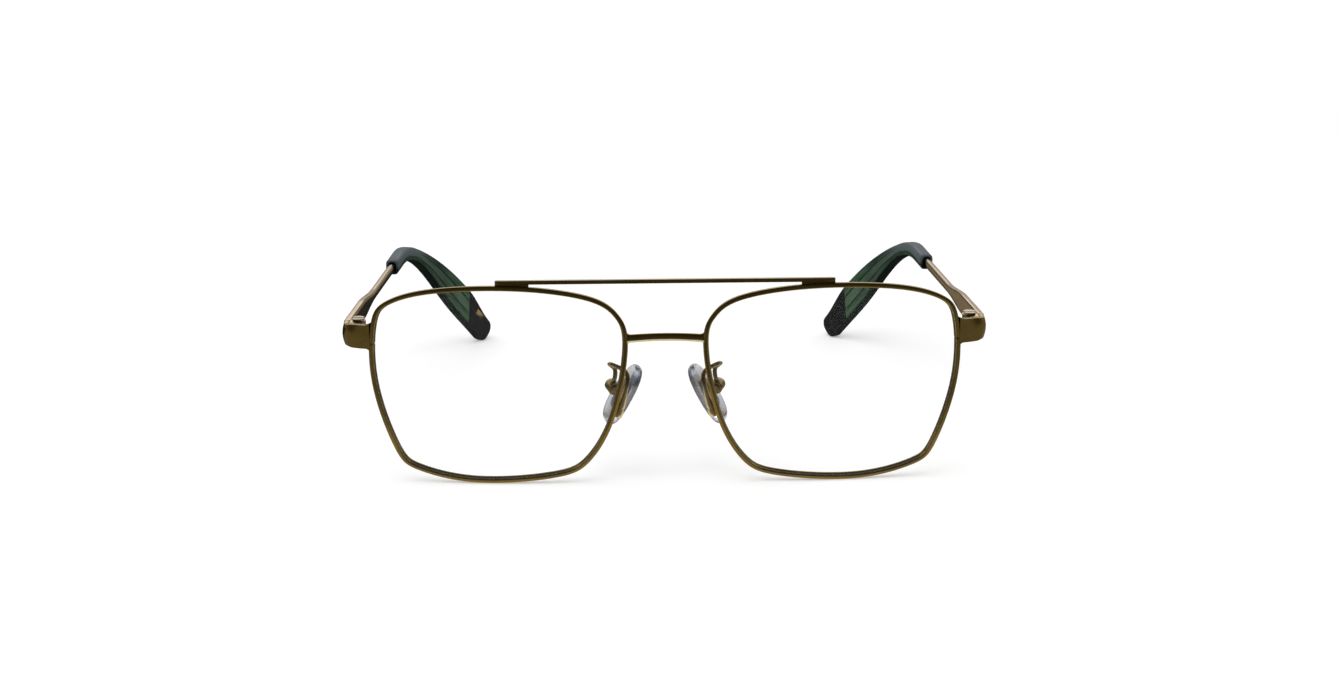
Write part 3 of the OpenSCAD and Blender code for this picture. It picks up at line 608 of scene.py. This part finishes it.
def temple_at(d, dip):
    corner = EAR - vec(0, 0, dip)
    ahead = unit(corner - TEMPLE_ROOT)
    q = (d - BEND_START) / BEND_LEN
    start, stop = corner - BEND_RUN * ahead, corner + BEND_RUN * DROP_DIR
    if d < BEND_START:
        return TEMPLE_ROOT + d * ahead, ahead
    if q > 1:
        return stop + (d - BEND_START - BEND_LEN) * DROP_DIR, DROP_DIR
    return (
        mix(mix(start, corner, q), mix(corner, stop, q), q),
        unit(mix(ahead, DROP_DIR, q)),
    )


def temple_row(d, high, thick, square, dip, lean=0.0, sink=0.0):
    place, along = temple_at(d, dip)
    inward = unit(vec(-along[1], along[0], 0))
    up = np.cross(along, inward)
    return place - sink * up, inward, up - vec(0, lean, 0), (thick / 2, high / 2), square, d


def tip_shrink(d):
    return ease((d - PADDLE_AT) / (PADDLE_UP - TIP_END_RUN))


def tip_size(d):
    grow = fade(d, GROW_FROM, PADDLE_AT)
    left = min(1.0, max(0.0, (TEMPLE_END - d) / TIP_END_RUN))
    high = mix(mix(MOUTH_H, PADDLE_H, grow), TIP_END_H, tip_shrink(d))
    high *= math.sqrt(1 - (1 - left) ** 2)
    thick = mix(MOUTH_T, PADDLE_T, ease((d - TIP_START) / THICK_RUN))
    thick *= math.sqrt(1 - (1 - left) ** 3)
    return max(high, LEAST), max(thick, LEAST)


def tip_rows(dip):
    end_from = TEMPLE_END - TIP_END_RUN
    places = steps(TIP_START + 0.25, BEND_START, 16) + steps(BEND_START, end_from, 48)[1:]
    for a in range(6, 91, 6):
        places.append(TEMPLE_END - TIP_END_RUN * (1 - math.sin(math.radians(a))))
    rows = []
    for d in places:
        sink = TIP_SKEW * tip_shrink(d) * (PADDLE_H - TIP_END_H) / 2
        square = mix(END_SQUARE, 1, ease((TEMPLE_END - d) / TIP_END_RUN))
        rows.append(temple_row(d, *tip_size(d), square, dip, 0, sink))
    return rows


def lowest(rows):
    """How far the lowest point of the rows' sections is above the floor."""
    return min(r[0][2] - abs(r[2][2]) * r[3][1] for r in rows)


FIRST_DIP = lowest(tip_rows(0))
DIP = FIRST_DIP + lowest(tip_rows(FIRST_DIP))


def acetate():
    """Dark green acetate: grained along the tip and lighter on its face, with painted shade near
    black at its lower edge and mouth and charcoal at its end, and a painted blue-grey highlight on
    the bend.
    """
    paint = new_paint("green_acetate_sheet")
    way = paint.attribute("way", "Fac")
    side, up, _ = paint.parts(paint.attribute("across", "Vector"))
    streak_place = paint.add("CombineXYZ", {}, {"X": way * 0.06, "Y": side * 0.8, "Z": up * 2.2})
    streaks = paint.noise(2.2, 4, 0.6, streak_place)
    cloud = paint.noise(260, 4, 0.6)
    grain = streaks.over(0.3, 0.72)
    dark = paint.blend(grain, (0.018, 0.033, 0.025), (0.056, 0.088, 0.066))
    light = paint.blend(grain, (0.03, 0.062, 0.034), (0.065, 0.13, 0.068))
    green = paint.blend(way.over(PADDLE_SHADE, CORE_END - 2), dark, light)
    green = paint.blend(cloud.over(0.5, 0.8) * 0.25, green, (0.07, 0.11, 0.08))
    # The core wire shows through as a paler band between two thin dark lines
    inside = 1 - way.over(CORE_END - 0.6, CORE_END)
    green = paint.blend(inside * abs(up).near(0.0, 0.26, 0.06) * 0.3, green, (0.10, 0.15, 0.10))
    green = paint.blend(inside * abs(up).near(0.33, 0.03, 0.03) * 0.85, green, (0.006, 0.01, 0.008))
    # Painted shade: the lower edge and the mouth are painted near black, and the end is painted
    # charcoal beyond a slanting joint
    green = paint.blend((1 - up.over(-0.8, -0.66)) * 0.92, green, (0.006, 0.008, 0.007))
    end = (way + up * TIP_SLANT).over(TIP_SHADE, TIP_SHADE + 0.5)
    green = paint.blend(end, green, (0.009, 0.009, 0.008))
    mouth = 1 - way.over(TIP_START + 0.5, TIP_START + 1.2)
    green = paint.blend(mouth * 0.9, green, (0.008, 0.009, 0.008))
    # A painted highlight: a blue-grey reflection painted on top of the bend
    bend = way.near(BEND_START + 4, 10, 14) * up.over(-0.5, 0.6)
    colour = paint.blend(bend * 0.6, green, (0.155, 0.18, 0.22))
    face = up.over(-0.66, -0.4) * (1 - end)
    shader = paint.add("BsdfPrincipled", {}, {
        "Base Color": colour,
        "Roughness": cloud * 0.12 + 0.16,
        "IOR": 1.5,
        "Specular IOR Level": 0.0,
        "Coat Weight": face * 0.05 + bend * 0.17,
        "Coat Roughness": 0.12,
        "Normal": paint.bump(paint.noise(700, 2), 0.00002, 0.1),
    })
    return paint.finish(shader)


ACETATE = acetate()

# The temple's broken front edge, and how far behind it the butt still leans with the hinge, in mm
EDGE_RUN, EDGE_CUT, LEAN_RUN = 0.14, 0.2, 2


def temple(name):
    rows = []
    shoulder = BUTT_LEN + TAPER_LEN
    butt = [0, 0.04, EDGE_RUN] + steps(0.5, BUTT_LEN, 8)
    bend = steps(BEND_START, BEND_START + BEND_LEN, 24)
    for d in butt + steps(BUTT_LEN, shoulder, 30)[1:]:
        k = fade(d, BUTT_LEN, shoulder)
        lean = math.tan(LEAN) * (1 - min(1, d / LEAN_RUN))
        inset = EDGE_CUT * (1 - ease(d / EDGE_RUN * 0.5 + 0.5))
        high, thick = mix(BUTT_H, SHANK_H, k), mix(BUTT_T, SHANK_T, k)
        rows.append(temple_row(d, high - inset, thick - inset, 1 - k, DIP, lean))
    for d in steps(shoulder, BEND_START, 12)[1:] + bend[1:] + [CORE_END]:
        rows.append(temple_row(d, SHANK_H, SHANK_T, 0, DIP))
    return follow_line(name, rows, SHANK_SECTION, CHAMPAGNE, BUTT_SECTION)


def tip(name):
    """From the end of the bore for the core out to the mouth, over its lip and down the outside."""
    bore = (SHANK_H + 2 * CORE_PLAY, SHANK_T + 2 * CORE_PLAY)
    inner = (MOUTH_H - 2 * MOUTH_LIP, MOUTH_T - 2 * MOUTH_LIP)
    outer = (MOUTH_H, MOUTH_T)
    inside = steps(TIP_START + MOUTH_DEPTH, BEND_START + BEND_LEN, 30) + [CORE_END + 4 * CORE_PLAY]
    rows = [temple_row(d, *bore, 0, DIP) for d in reversed(inside)]
    # Way behind the mouth, size there, what is added to it, and squareness
    lip = (
        (0.12, inner, -0.1, 0), (0.03, inner, 0.1, 0),
        (0, outer, -0.45, 0.5), (0.08, outer, -0.12, 0.8),
    )
    for way, (high, thick), more, square in lip:
        rows.append(temple_row(TIP_START + way, high + more, thick + more, square, DIP))
    return follow_line(name, rows + tip_rows(DIP), TIP_SOFT, ACETATE, TIP_FLAT)


def rim(name):
    rows = []
    for t in steps(CUT_T[1], CUT_T[0] + POLES, RIM_STEPS * POLES):
        middle, outward, normal = rim_axes(t)
        rows.append((middle + SHIFT, outward, normal, (1, 1), 0, t))
    return follow_line(name, rows, RIM_SECTION, ANTIQUE)


def bridge(name):
    root = beside(nose_t(BRIDGE_RISE), RIM_OUT + SOLDER, 0)
    reach = 1 + SINK / root[0]
    rows = []
    for k in steps(-reach, reach, 60):
        sag = 1 - min(abs(k), 1) ** 2
        flare = FILLET * ease(1 - (reach - abs(k)) * root[0] / BRIDGE_FILLET_RUN) ** 2
        place = vec(root[0] * k, root[1] - BRIDGE_BOW * sag, BRIDGE_RISE + BRIDGE_ARCH * sag)
        size = (BRIDGE_D / 2 + flare * BRIDGE_FILLET_DEPTH, BRIDGE_H / 2 + flare)
        rows.append((place + SHIFT, vec(0, 1, 0), vec(0, 0, 1), size, 0, root[0] * k))
    return follow_line(name, rows, BRIDGE_SECTION, HIGHLIGHT_BELOW)


BAR_END_H = 0.8


def brow_bar(name):
    """Straight, with round ends that are a little lower than the rest."""
    low, high = (np.array(c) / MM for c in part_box("brow_bar"))
    middle, half = (low + high) / 2, (high - low) / 2
    rows = []
    bend = [half[1] * (1 - math.cos(math.radians(a))) for a in range(8, 91, 16)]
    ends = [-half[0] + s for s in bend]
    for x in ends + steps(ends[-1], -ends[-1], 40)[1:-1] + [-x for x in reversed(ends)]:
        inset = max(0.0, half[1] - (half[0] - abs(x)))
        across = math.sqrt(max(0.0, half[1] ** 2 - inset**2))
        size = (across, half[2] * mix(BAR_END_H, 1, across / half[1]))
        rows.append((vec(x, middle[1], middle[2]), vec(0, 1, 0), vec(0, 0, 1), size, 0, x))
    return follow_line(name, rows, BAR_SECTION, ANTIQUE)


END_OUT = outline(outer_t(END_RISE))
END_ROOT_SLOPE = math.atan(END_OUT[0] / BASE_R + math.tan(WRAP))
# How far the section has changed into the butt's: where it starts on the front, and at what rate,
# at both ends of the turn, and where the broken edge at its back begins
CHANGE_FROM, CHANGE_RATE, CHANGE_TURN, CHANGE_EDGE = 0.35, 0.34, (0.222, 0.889), 0.993
END_EDGE_CUT, CROWN_SHARE = 0.1, 1.55


def block_section(crown):
    """Flat with broken edges inside, and crowned between crisp edges outside."""
    inner = [(1, 0.84), (0.97, 0.88), (0.62, 0.99), (0.55, 1)]
    edge = -1 + crown
    top = [*inner, (edge + 0.05, 1)]
    middle = [(-1 + crown * v * v, v) for v in steps(0.985, -0.985, 16)]
    return np.array(top + middle + [(x, -y) for x, y in reversed(top)])


def end_piece(name):
    slope = END_ROOT_SLOPE
    ahead = vec(math.cos(slope), math.sin(slope))
    turn_x = LEG_X - END_TURN * (1 - math.sin(slope))
    turn_y = END_ROOT[1] + (turn_x - END_ROOT[0]) * math.tan(slope)
    turn_mid = vec(turn_x - END_TURN * math.sin(slope), turn_y + END_TURN * math.cos(slope))
    stop = vec(LEG_X, END_ROOT[1] + HINGE_BACK - BUTT_GAP / 2)
    # Each station: place in plan, direction there, and how far the section has changed
    line = [(END_ROOT[:2] - SINK * ahead, slope, 0.0)]
    for k in steps(0, 0.95, 10):
        place = mix(END_ROOT[:2], vec(turn_x, turn_y), k)
        line.append((place, slope, max(0.0, k - CHANGE_FROM) * CHANGE_RATE))
    for k in steps(0, 1, 16):
        a = mix(slope, math.pi / 2, k)
        place = turn_mid + END_TURN * vec(math.sin(a), -math.cos(a))
        line.append((place, a, mix(*CHANGE_TURN, k)))
    turned = line[-1][0]
    for k in (0.5, 0.94, 0.98, 1):
        line.append((mix(turned, stop, k), math.pi / 2, mix(CHANGE_TURN[1], 1, k)))
    rows = []
    for at, a, k in line:
        flare = FILLET * ease(1 - np.linalg.norm(at - line[0][0]) / END_FILLET_RUN) ** 2
        inset = END_EDGE_CUT * fade(k, CHANGE_EDGE, 1)
        half = mix(END_H, BUTT_H, ease(k)) / 2 + flare - inset
        up = vec(0, -ease(k) * math.tan(LEAN), 1)
        size = (mix(END_T, BUTT_T, ease(k)) / 2 - inset, half)
        side = vec(-math.sin(a), math.cos(a), 0)
        rows.append((vec(*at, END_RISE) + SHIFT, side, up, size, ease(2 * k), k))
    crowned = block_section(CROWN_SHARE * END_CROWN / END_T)
    return follow_line(name, rows, block_section(0.0), ANTIQUE, crowned)


# The pads' axes, and the poles of an arm's line: from its foot, and then from the pad box
PAD_UP = vec(-math.sin(PAD_FRONTAL), 0, math.cos(PAD_FRONTAL))
PAD_BACK = square_to(vec(math.sin(PAD_SPLAY), math.cos(PAD_SPLAY), 0), PAD_UP)
PAD_FACE = np.cross(PAD_UP, PAD_BACK)
ARM_RISE = (0, 0, 0), (-1.1, 0.4, 3.2), (-2, 1.2, 6.4), (-2.6, 2.4, 9.2)
ARM_LOOP = (
    (-2.6, -3.6, 4.9), (-1.2, -2.6, 5.3), (0.6, -1.4, 5.8), (0.8, 0, 5.2), (-0.7, 0.4, 4.3),
)
ARM_STEPS, LAND_RUN = 10, 1.2
# Forms of the foot, and the rows over which they fade into the plain wire
FOOT_WIDE, FOOT_FLAT, FOOT_END, GROOVE_WIDE = 1.3, 0.85, 0.86, 0.72
THICK_ROWS, WIDE_ROWS, FLAT_ROWS, END_ROWS, GROOVE_ROW = (0, 20), (8, 24), (6, 18), (0, 2), 6


def arm(name):
    foot = beside(nose_t(FOOT_RISE), RIM_OUT + ARM_FOOT_D / 2 + SOLDER, -FOOT_BACK) + SHIFT
    land_dir = math.cos(LAND_ANGLE) * PAD_UP - math.sin(LAND_ANGLE) * PAD_FACE
    land = BOX_AT + (BOX_R + SOLDER) * land_dir
    route = [foot + vec(*p) for p in ARM_RISE] + [BOX_AT + vec(*p) for p in ARM_LOOP]
    route += [land + LAND_RUN * land_dir, land]
    poles = [2 * route[0] - route[1], *route, 2 * route[-1] - route[-2]]
    points = [
        spline_point(*poles[i:i + 4], k)
        for i in range(len(route) - 1) for k in steps(0, 1, ARM_STEPS)[:-1]
    ]
    points += [land, land - SINK * land_dir]
    side, rows, way = vec(1, 0, 0), [], 0.0
    for i, point in enumerate(points):
        ahead = unit(points[min(i + 1, len(points) - 1)] - points[max(i - 1, 0)])
        side = square_to(side, ahead)
        way += np.linalg.norm(point - points[max(i - 1, 0)])
        radius = mix(ARM_FOOT_D, ARM_D, fade(i, *THICK_ROWS)) / 2
        # The foot is pressed flat, and ends in a small block behind a groove
        wide = mix(FOOT_WIDE, 1, fade(i, *WIDE_ROWS)) * (GROOVE_WIDE if i == GROOVE_ROW else 1)
        radius *= mix(FOOT_END, 1, fade(i, *END_ROWS))
        size = (radius * wide, radius * mix(FOOT_FLAT, 1, fade(i, *FLAT_ROWS)))
        rows.append((point, side, np.cross(ahead, side), size, 0, way))
    return follow_line(name, rows, ARM_SECTION, LIGHTER_FOOT)


def silicone():
    """Clear soft silicone, faintly violet, with a fine moulded haze and painted shade along its
    edge.
    """
    paint = new_paint("clear_soft_silicone")
    cloud = paint.noise(330, 4, 0.6)
    skin = paint.noise(2600, 3, 0.6)
    colour = paint.blend(cloud.over(0.35, 0.7), (0.75, 0.80, 0.93), (0.65, 0.70, 0.83))
    # Painted shade, darker along the edge and round the ends, where the clear silicone bends the
    # light; the way along a pad is in degrees from its middle
    side, _, _ = paint.parts(paint.attribute("across", "Vector"))
    end = abs(paint.attribute("way", "Fac")).over(66, 80)
    edge = paint.add("Math", {"operation": "MAXIMUM"}, {0: abs(side).over(0.93, 0.99), 1: end})
    colour = paint.blend(edge * 0.75, colour, (0.22, 0.23, 0.26))
    shader = paint.add("BsdfPrincipled", {}, {
        "Base Color": colour,
        "Roughness": skin * 0.12 + 0.04,
        "IOR": 1.41,
        "Transmission Weight": 0.9,
        "Coat Weight": 0.2,
        "Normal": paint.bump(skin, 0.00003, 0.4),
    })
    return paint.finish(shader)


SILICONE = silicone()
# How square the pad's outline is, how much narrower its top is, and how round its ends are
PAD_POWER, PAD_TAPER, PAD_ROUND = 2.8, 0.12, 0.6


def nose_pad(name):
    reach = BOX_R + PAD_CLEAR + PAD_T / 2
    rows = []
    for degrees in (-88, *range(-84, 85, 6), 88):
        a = math.radians(degrees)
        along = math.sin(a)
        place = BOX_AT + reach * PAD_FACE + (PAD_LEN / 2 * along - PAD_SINK) * PAD_UP
        wide = PAD_W / 2 * (1 - abs(along) ** PAD_POWER) ** (1 / PAD_POWER)
        wide *= 1 - PAD_TAPER * along
        thick = PAD_T / 2 * math.cos(a) ** PAD_ROUND
        rows.append((place, PAD_BACK, PAD_FACE, (wide, thick), 0, degrees))
    return follow_line(name, rows, PAD_SECTION, SILICONE)


def lens_finish():
    """Clear coated lens: all but invisible in front, with a faint sheen to its rim."""
    paint = new_paint("clear_coated_lens")
    gloss = paint.add("LayerWeight", {}, {"Blend": 0.25}, "Fresnel")
    smear = paint.noise(60, 3, 0.5)
    sheen = gloss * 0.22 + smear * 0.01
    most = 0.05
    shader = paint.add("BsdfPrincipled", {}, {
        "Base Color": paint.blend(smear, (0.86, 0.93, 0.92), (0.90, 0.94, 0.95)),
        "Roughness": smear * 0.02 + 0.01,
        "IOR": 1.5,
        "Alpha": sheen.maths("MINIMUM", sheen, most),
    })
    return paint.finish(shader)


LENS = lens_finish()
# Rings of a lens face, as shares of its outline
LENS_SHARES = (0.04, 0.15, 0.3, 0.45, 0.6, 0.75, 0.88)


def lens(name):
    """From the middle of its back out to the edge, over the bevel and in again."""
    edge, half = -GROOVE_D - LENS_PLAY, LENS_T / 2
    bevel = GROOVE_HALF - 2 * LENS_PLAY
    places = [i / LENS_STEPS for i in range(LENS_STEPS * POLES)]

    def face_ring(share, n):
        return [on_front(*(outline(t) * share), n) for t in places]

    rings = [face_ring(share, -half) for share in LENS_SHARES]
    for b, n in ((edge, -half), (edge, -bevel), (-2 * LENS_PLAY, 0), (edge, bevel), (edge, half)):
        rings.append([beside(t, b, n) for t in places])
    rings += [face_ring(share, half) for share in reversed(LENS_SHARES)]
    points = [p + SHIFT for ring in rings for p in ring]
    count, last = len(places), len(rings) - 1
    faces = []
    for here in range(0, last * count, count):
        after = here + count
        for j in range(count):
            beside_j = (j + 1) % count
            faces.append((here + j, after + j, after + beside_j, here + beside_j))
    points += [on_front(0, 0, -half) + SHIFT, on_front(0, 0, half) + SHIFT]
    back, front = len(points) - 2, len(points) - 1
    faces += [(back, j, (j + 1) % count) for j in range(count)]
    faces += [(front, last * count + (j + 1) % count, last * count + j) for j in range(count)]
    mesh = bpy.data.meshes.new(name)
    mesh.from_pydata([tuple(p * MM) for p in points], [], faces)
    mesh.materials.append(LENS)
    face_out(mesh)
    shade(mesh, angle=25)
    return new_object(name, mesh)


# Broken edges: how far apart doubles may be, in metres, and angles in degrees
DOUBLES, FLAT_ANGLE, BREAK_ANGLE, SHADE_ANGLE = 1e-6, 1.5, 28, 32


def softened(node, body, slot, finish, width):
    """A copy of a hard CAD node with its edges broken, so that they catch the light."""
    name = node + "_broken_edges"
    mesh = frame["nodes"][node].data.copy()
    form = bmesh.new()
    form.from_mesh(mesh)
    bmesh.ops.remove_doubles(form, verts=form.verts[:], dist=DOUBLES)
    bmesh.ops.dissolve_limit(
        form, angle_limit=math.radians(FLAT_ANGLE), verts=form.verts[:], edges=form.edges[:]
    )
    form.to_mesh(mesh)
    form.free()
    mesh.materials.clear()
    mesh.materials.append(finish)
    piece = new_object(name, mesh)
    bevel = piece.modifiers.new("edges", "BEVEL")
    bevel.width = width * MM
    bevel.segments = 2
    bevel.limit_method = "ANGLE"
    bevel.angle_limit = math.radians(BREAK_ANGLE)
    shade(final_mesh(piece), angle=SHADE_ANGLE)
    hand_over(piece, body, slot, node)


def make_pieces():
    front = "front"
    both_sides(rim, "rim_wire_{}", "rim_{}", front, "antique_gold")
    both_sides(lens, "clear_lens_{}", "lens_{}", front, "clear_lens")
    hand_over(bridge("bridge_with_fillets"), front, "antique_gold", "bridge")
    hand_over(brow_bar("straight_brow_bar"), front, "antique_gold", "brow_bar")
    both_sides(end_piece, "end_block_{}", "end_piece_{}", front, "antique_gold")
    both_sides(arm, "pad_arm_wire_{}", "pad_arm_{}", front, "antique_gold")
    both_sides(temple, "temple_wire_{}", "temple_{}", "{}_temple", "pale_gold")
    both_sides(tip, "acetate_tip_{}", "temple_tip_{}", "{}_temple", "green_acetate")
    both_sides(nose_pad, "soft_pad_{}", "nose_pad_{}", "{}_nose_pad", "clear_silicone")
    for side in SIDES:
        softened(f"brow_seat_{side}", front, "antique_gold", ANTIQUE, 0.05)
        softened(f"rim_lock_{side}", front, "antique_gold", ANTIQUE, 0.1)
        softened(f"hinge_front_{side}", front, "antique_gold", WORN, 0.06)
        # The pad boxes and the pad screws take the darker copy of the antique gold, as painted
        # shade
        softened(f"pad_box_{side}", front, "antique_gold", SHADED_GOLD, 0.12)
        softened(f"rim_screw_{side}", front, "screw_steel", TURNED, 0.06)
        softened(f"hinge_screw_{side}", front, "screw_steel", TURNED, 0.08)
        softened(f"pad_screw_{side}", front, "screw_steel", SHADED_GOLD, 0.05)
        softened(f"hinge_rear_{side}", f"{side}_temple", "pale_gold", WORN, 0.06)
        softened(f"pad_core_{side}", f"{side}_nose_pad", "core_metal", STAMPED, 0.08)
    softened("tip_plaque_left", "left_temple", "bright_gold", BRIGHT, 0.08)


# Stage: pale floor, soft studio light, and the camera at the photograph's angle
def grey(level):
    return level, level, level


def ray(paint, *kinds):
    """1 for rays of any of these kinds."""
    outputs = paint.add("LightPath").socket.node.outputs
    found = [Value(paint, outputs[f"Is {kind} Ray"]) for kind in kinds]
    total = found[0]
    for other in found[1:]:
        total = total.maths("MAXIMUM", total, other)
    return total


def floor():
    """White to the camera, but for its soft shadows; in mirrors it darkens towards the front."""
    paint = new_paint("pale_floor")
    speckle = paint.noise(40, 4, 0.6)
    matte = paint.add("BsdfPrincipled", {}, {
        "Base Color": paint.blend(speckle, grey(0.80), grey(0.82)),
        "Roughness": speckle * 0.1 + 0.8,
        "Specular IOR Level": 0.1,
    })
    across, depth, _ = paint.parts(paint.place())
    far = paint.blend(depth.over(0.2, 1.1), grey(1), grey(1.4))
    glow = paint.add("Emission", {}, {"Color": far, "Strength": 0.3})
    lit = paint.add("AddShader", {}, {0: matte, 1: glow})
    seen = paint.add("MixShader", {}, {0: ray(paint, "Camera", "Transmission"), 1: matte, 2: lit})
    # In mirrors, from the back of the glasses to what lies before them, in metres
    behind = paint.blend(across.over(-0.031, -0.018), grey(0.02), (0.3, 0.24, 0.155))
    under = paint.blend(abs(across).over(0.07, 0.085), (0.75, 0.74, 0.7), grey(0.34))
    near = paint.blend(depth.over(-0.03, 0.03), under, behind)
    middle = paint.blend(abs(across).over(0.054, 0.061), grey(0.13), grey(0.34))
    ahead = paint.blend(depth.over(-0.215, -0.2), grey(0.1), middle)
    mirror = paint.blend(depth.over(-0.1, -0.084), ahead, near)
    below_bridge = abs(across).near(0.0, 0.01, 0.006) * depth.near(-0.07, 0.035, 0.01)
    mirror = paint.blend(below_bridge, mirror, (0.75, 0.73, 0.68))
    mirrored_floor = paint.add("Emission", {}, {"Color": mirror, "Strength": 1.0})
    whole = paint.add("MixShader", {}, {0: ray(paint, "Glossy"), 1: seen, 2: mirrored_floor})
    material = paint.finish(whole)
    form = bmesh.new()
    bmesh.ops.create_grid(form, x_segments=12, y_segments=12, size=6)
    mesh = bpy.data.meshes.new("floor")
    form.to_mesh(mesh)
    form.free()
    mesh.materials.append(material)
    new_object("floor", mesh)


def world():
    """Plain white to the camera; in mirrors bright behind, and dark in front and overhead."""
    owner = bpy.data.worlds.new("studio")
    bpy.context.scene.world = owner
    paint = Paint(owner)
    _, back, up = paint.parts(paint.add("TexCoord", output="Generated"))
    horizon = paint.blend(back.over(-0.3, 0.7), grey(0.05), (0.29, 0.26, 0.22))
    high = paint.blend(back.over(0.1, 0.5), grey(0.03), (0.75, 0.72, 0.66))
    belt = paint.blend(up.over(0.3, 0.4), horizon, high)
    sky = paint.blend(up.over(0.62, 0.8), belt, (0.028, 0.027, 0.026))
    plain = paint.blend(ray(paint, "Camera"), grey(0.25), grey(0.455))
    colour = paint.blend(ray(paint, "Glossy", "Transmission"), plain, sky)
    paint.finish(paint.add("Background", {}, {"Color": colour, "Strength": 2.2}))


def placed(right, up, back, place):
    rows = [(right[i], up[i], back[i], place[i]) for i in range(3)]
    return Matrix((*rows, (0, 0, 0, 1)))


# Nearly upright, so that no lamp points along it
LAMP_UP = vec(0.01, 0.3, 1)


def lamp(name, place, target, size, watts, in_mirrors):
    data = bpy.data.lights.new(name, "AREA")
    data.shape = "RECTANGLE"
    data.size, data.size_y = size
    data.energy = watts
    light = bpy.data.objects.new(name, data)
    bpy.context.scene.collection.objects.link(light)
    place, target = vec(*place), vec(*target)
    back = unit(place - target)
    right = unit(np.cross(LAMP_UP, back))
    light.matrix_world = placed(right, np.cross(back, right), back, place)
    light.visible_glossy = in_mirrors


# The camera fitted to the photograph: focal length and sensor in mm, place from the lens middles
FOCAL_LEN, SENSOR_W = 64.17, 36
CAMERA_AT, CAMERA_AHEAD = vec(-8.684, -511.58, 144.3125), vec(0.018216, 0.96630, -0.25679)
CAMERA_ROLL = math.radians(0.34)


def camera():
    data = bpy.data.cameras.new("camera")
    data.sensor_width = SENSOR_W
    data.lens = FOCAL_LEN
    data.clip_start, data.clip_end = 0.01, 50
    view = bpy.data.objects.new("camera", data)
    bpy.context.scene.collection.objects.link(view)
    ahead = unit(CAMERA_AHEAD)
    flat_right = unit(np.cross(ahead, vec(0, 0, 1)))
    flat_up = np.cross(flat_right, ahead)
    right = math.cos(CAMERA_ROLL) * flat_right - math.sin(CAMERA_ROLL) * flat_up
    up = math.sin(CAMERA_ROLL) * flat_right + math.cos(CAMERA_ROLL) * flat_up
    view.matrix_world = placed(right, up, -ahead, (CAMERA_AT + SHIFT) * MM)
    bpy.context.scene.camera = view


camera()
make_pieces()
floor()
world()
lamp("overhead", (-0.3, -0.5, 1.3), (0, 0, 0), (1.4, 1.4), 11, False)
lamp("back_strip", (0.3, 1.4, 0.55), (0, 0, 0.03), (1.6, 0.3), 1.5, True)
bpy.context.scene.view_settings.view_transform = "Standard"
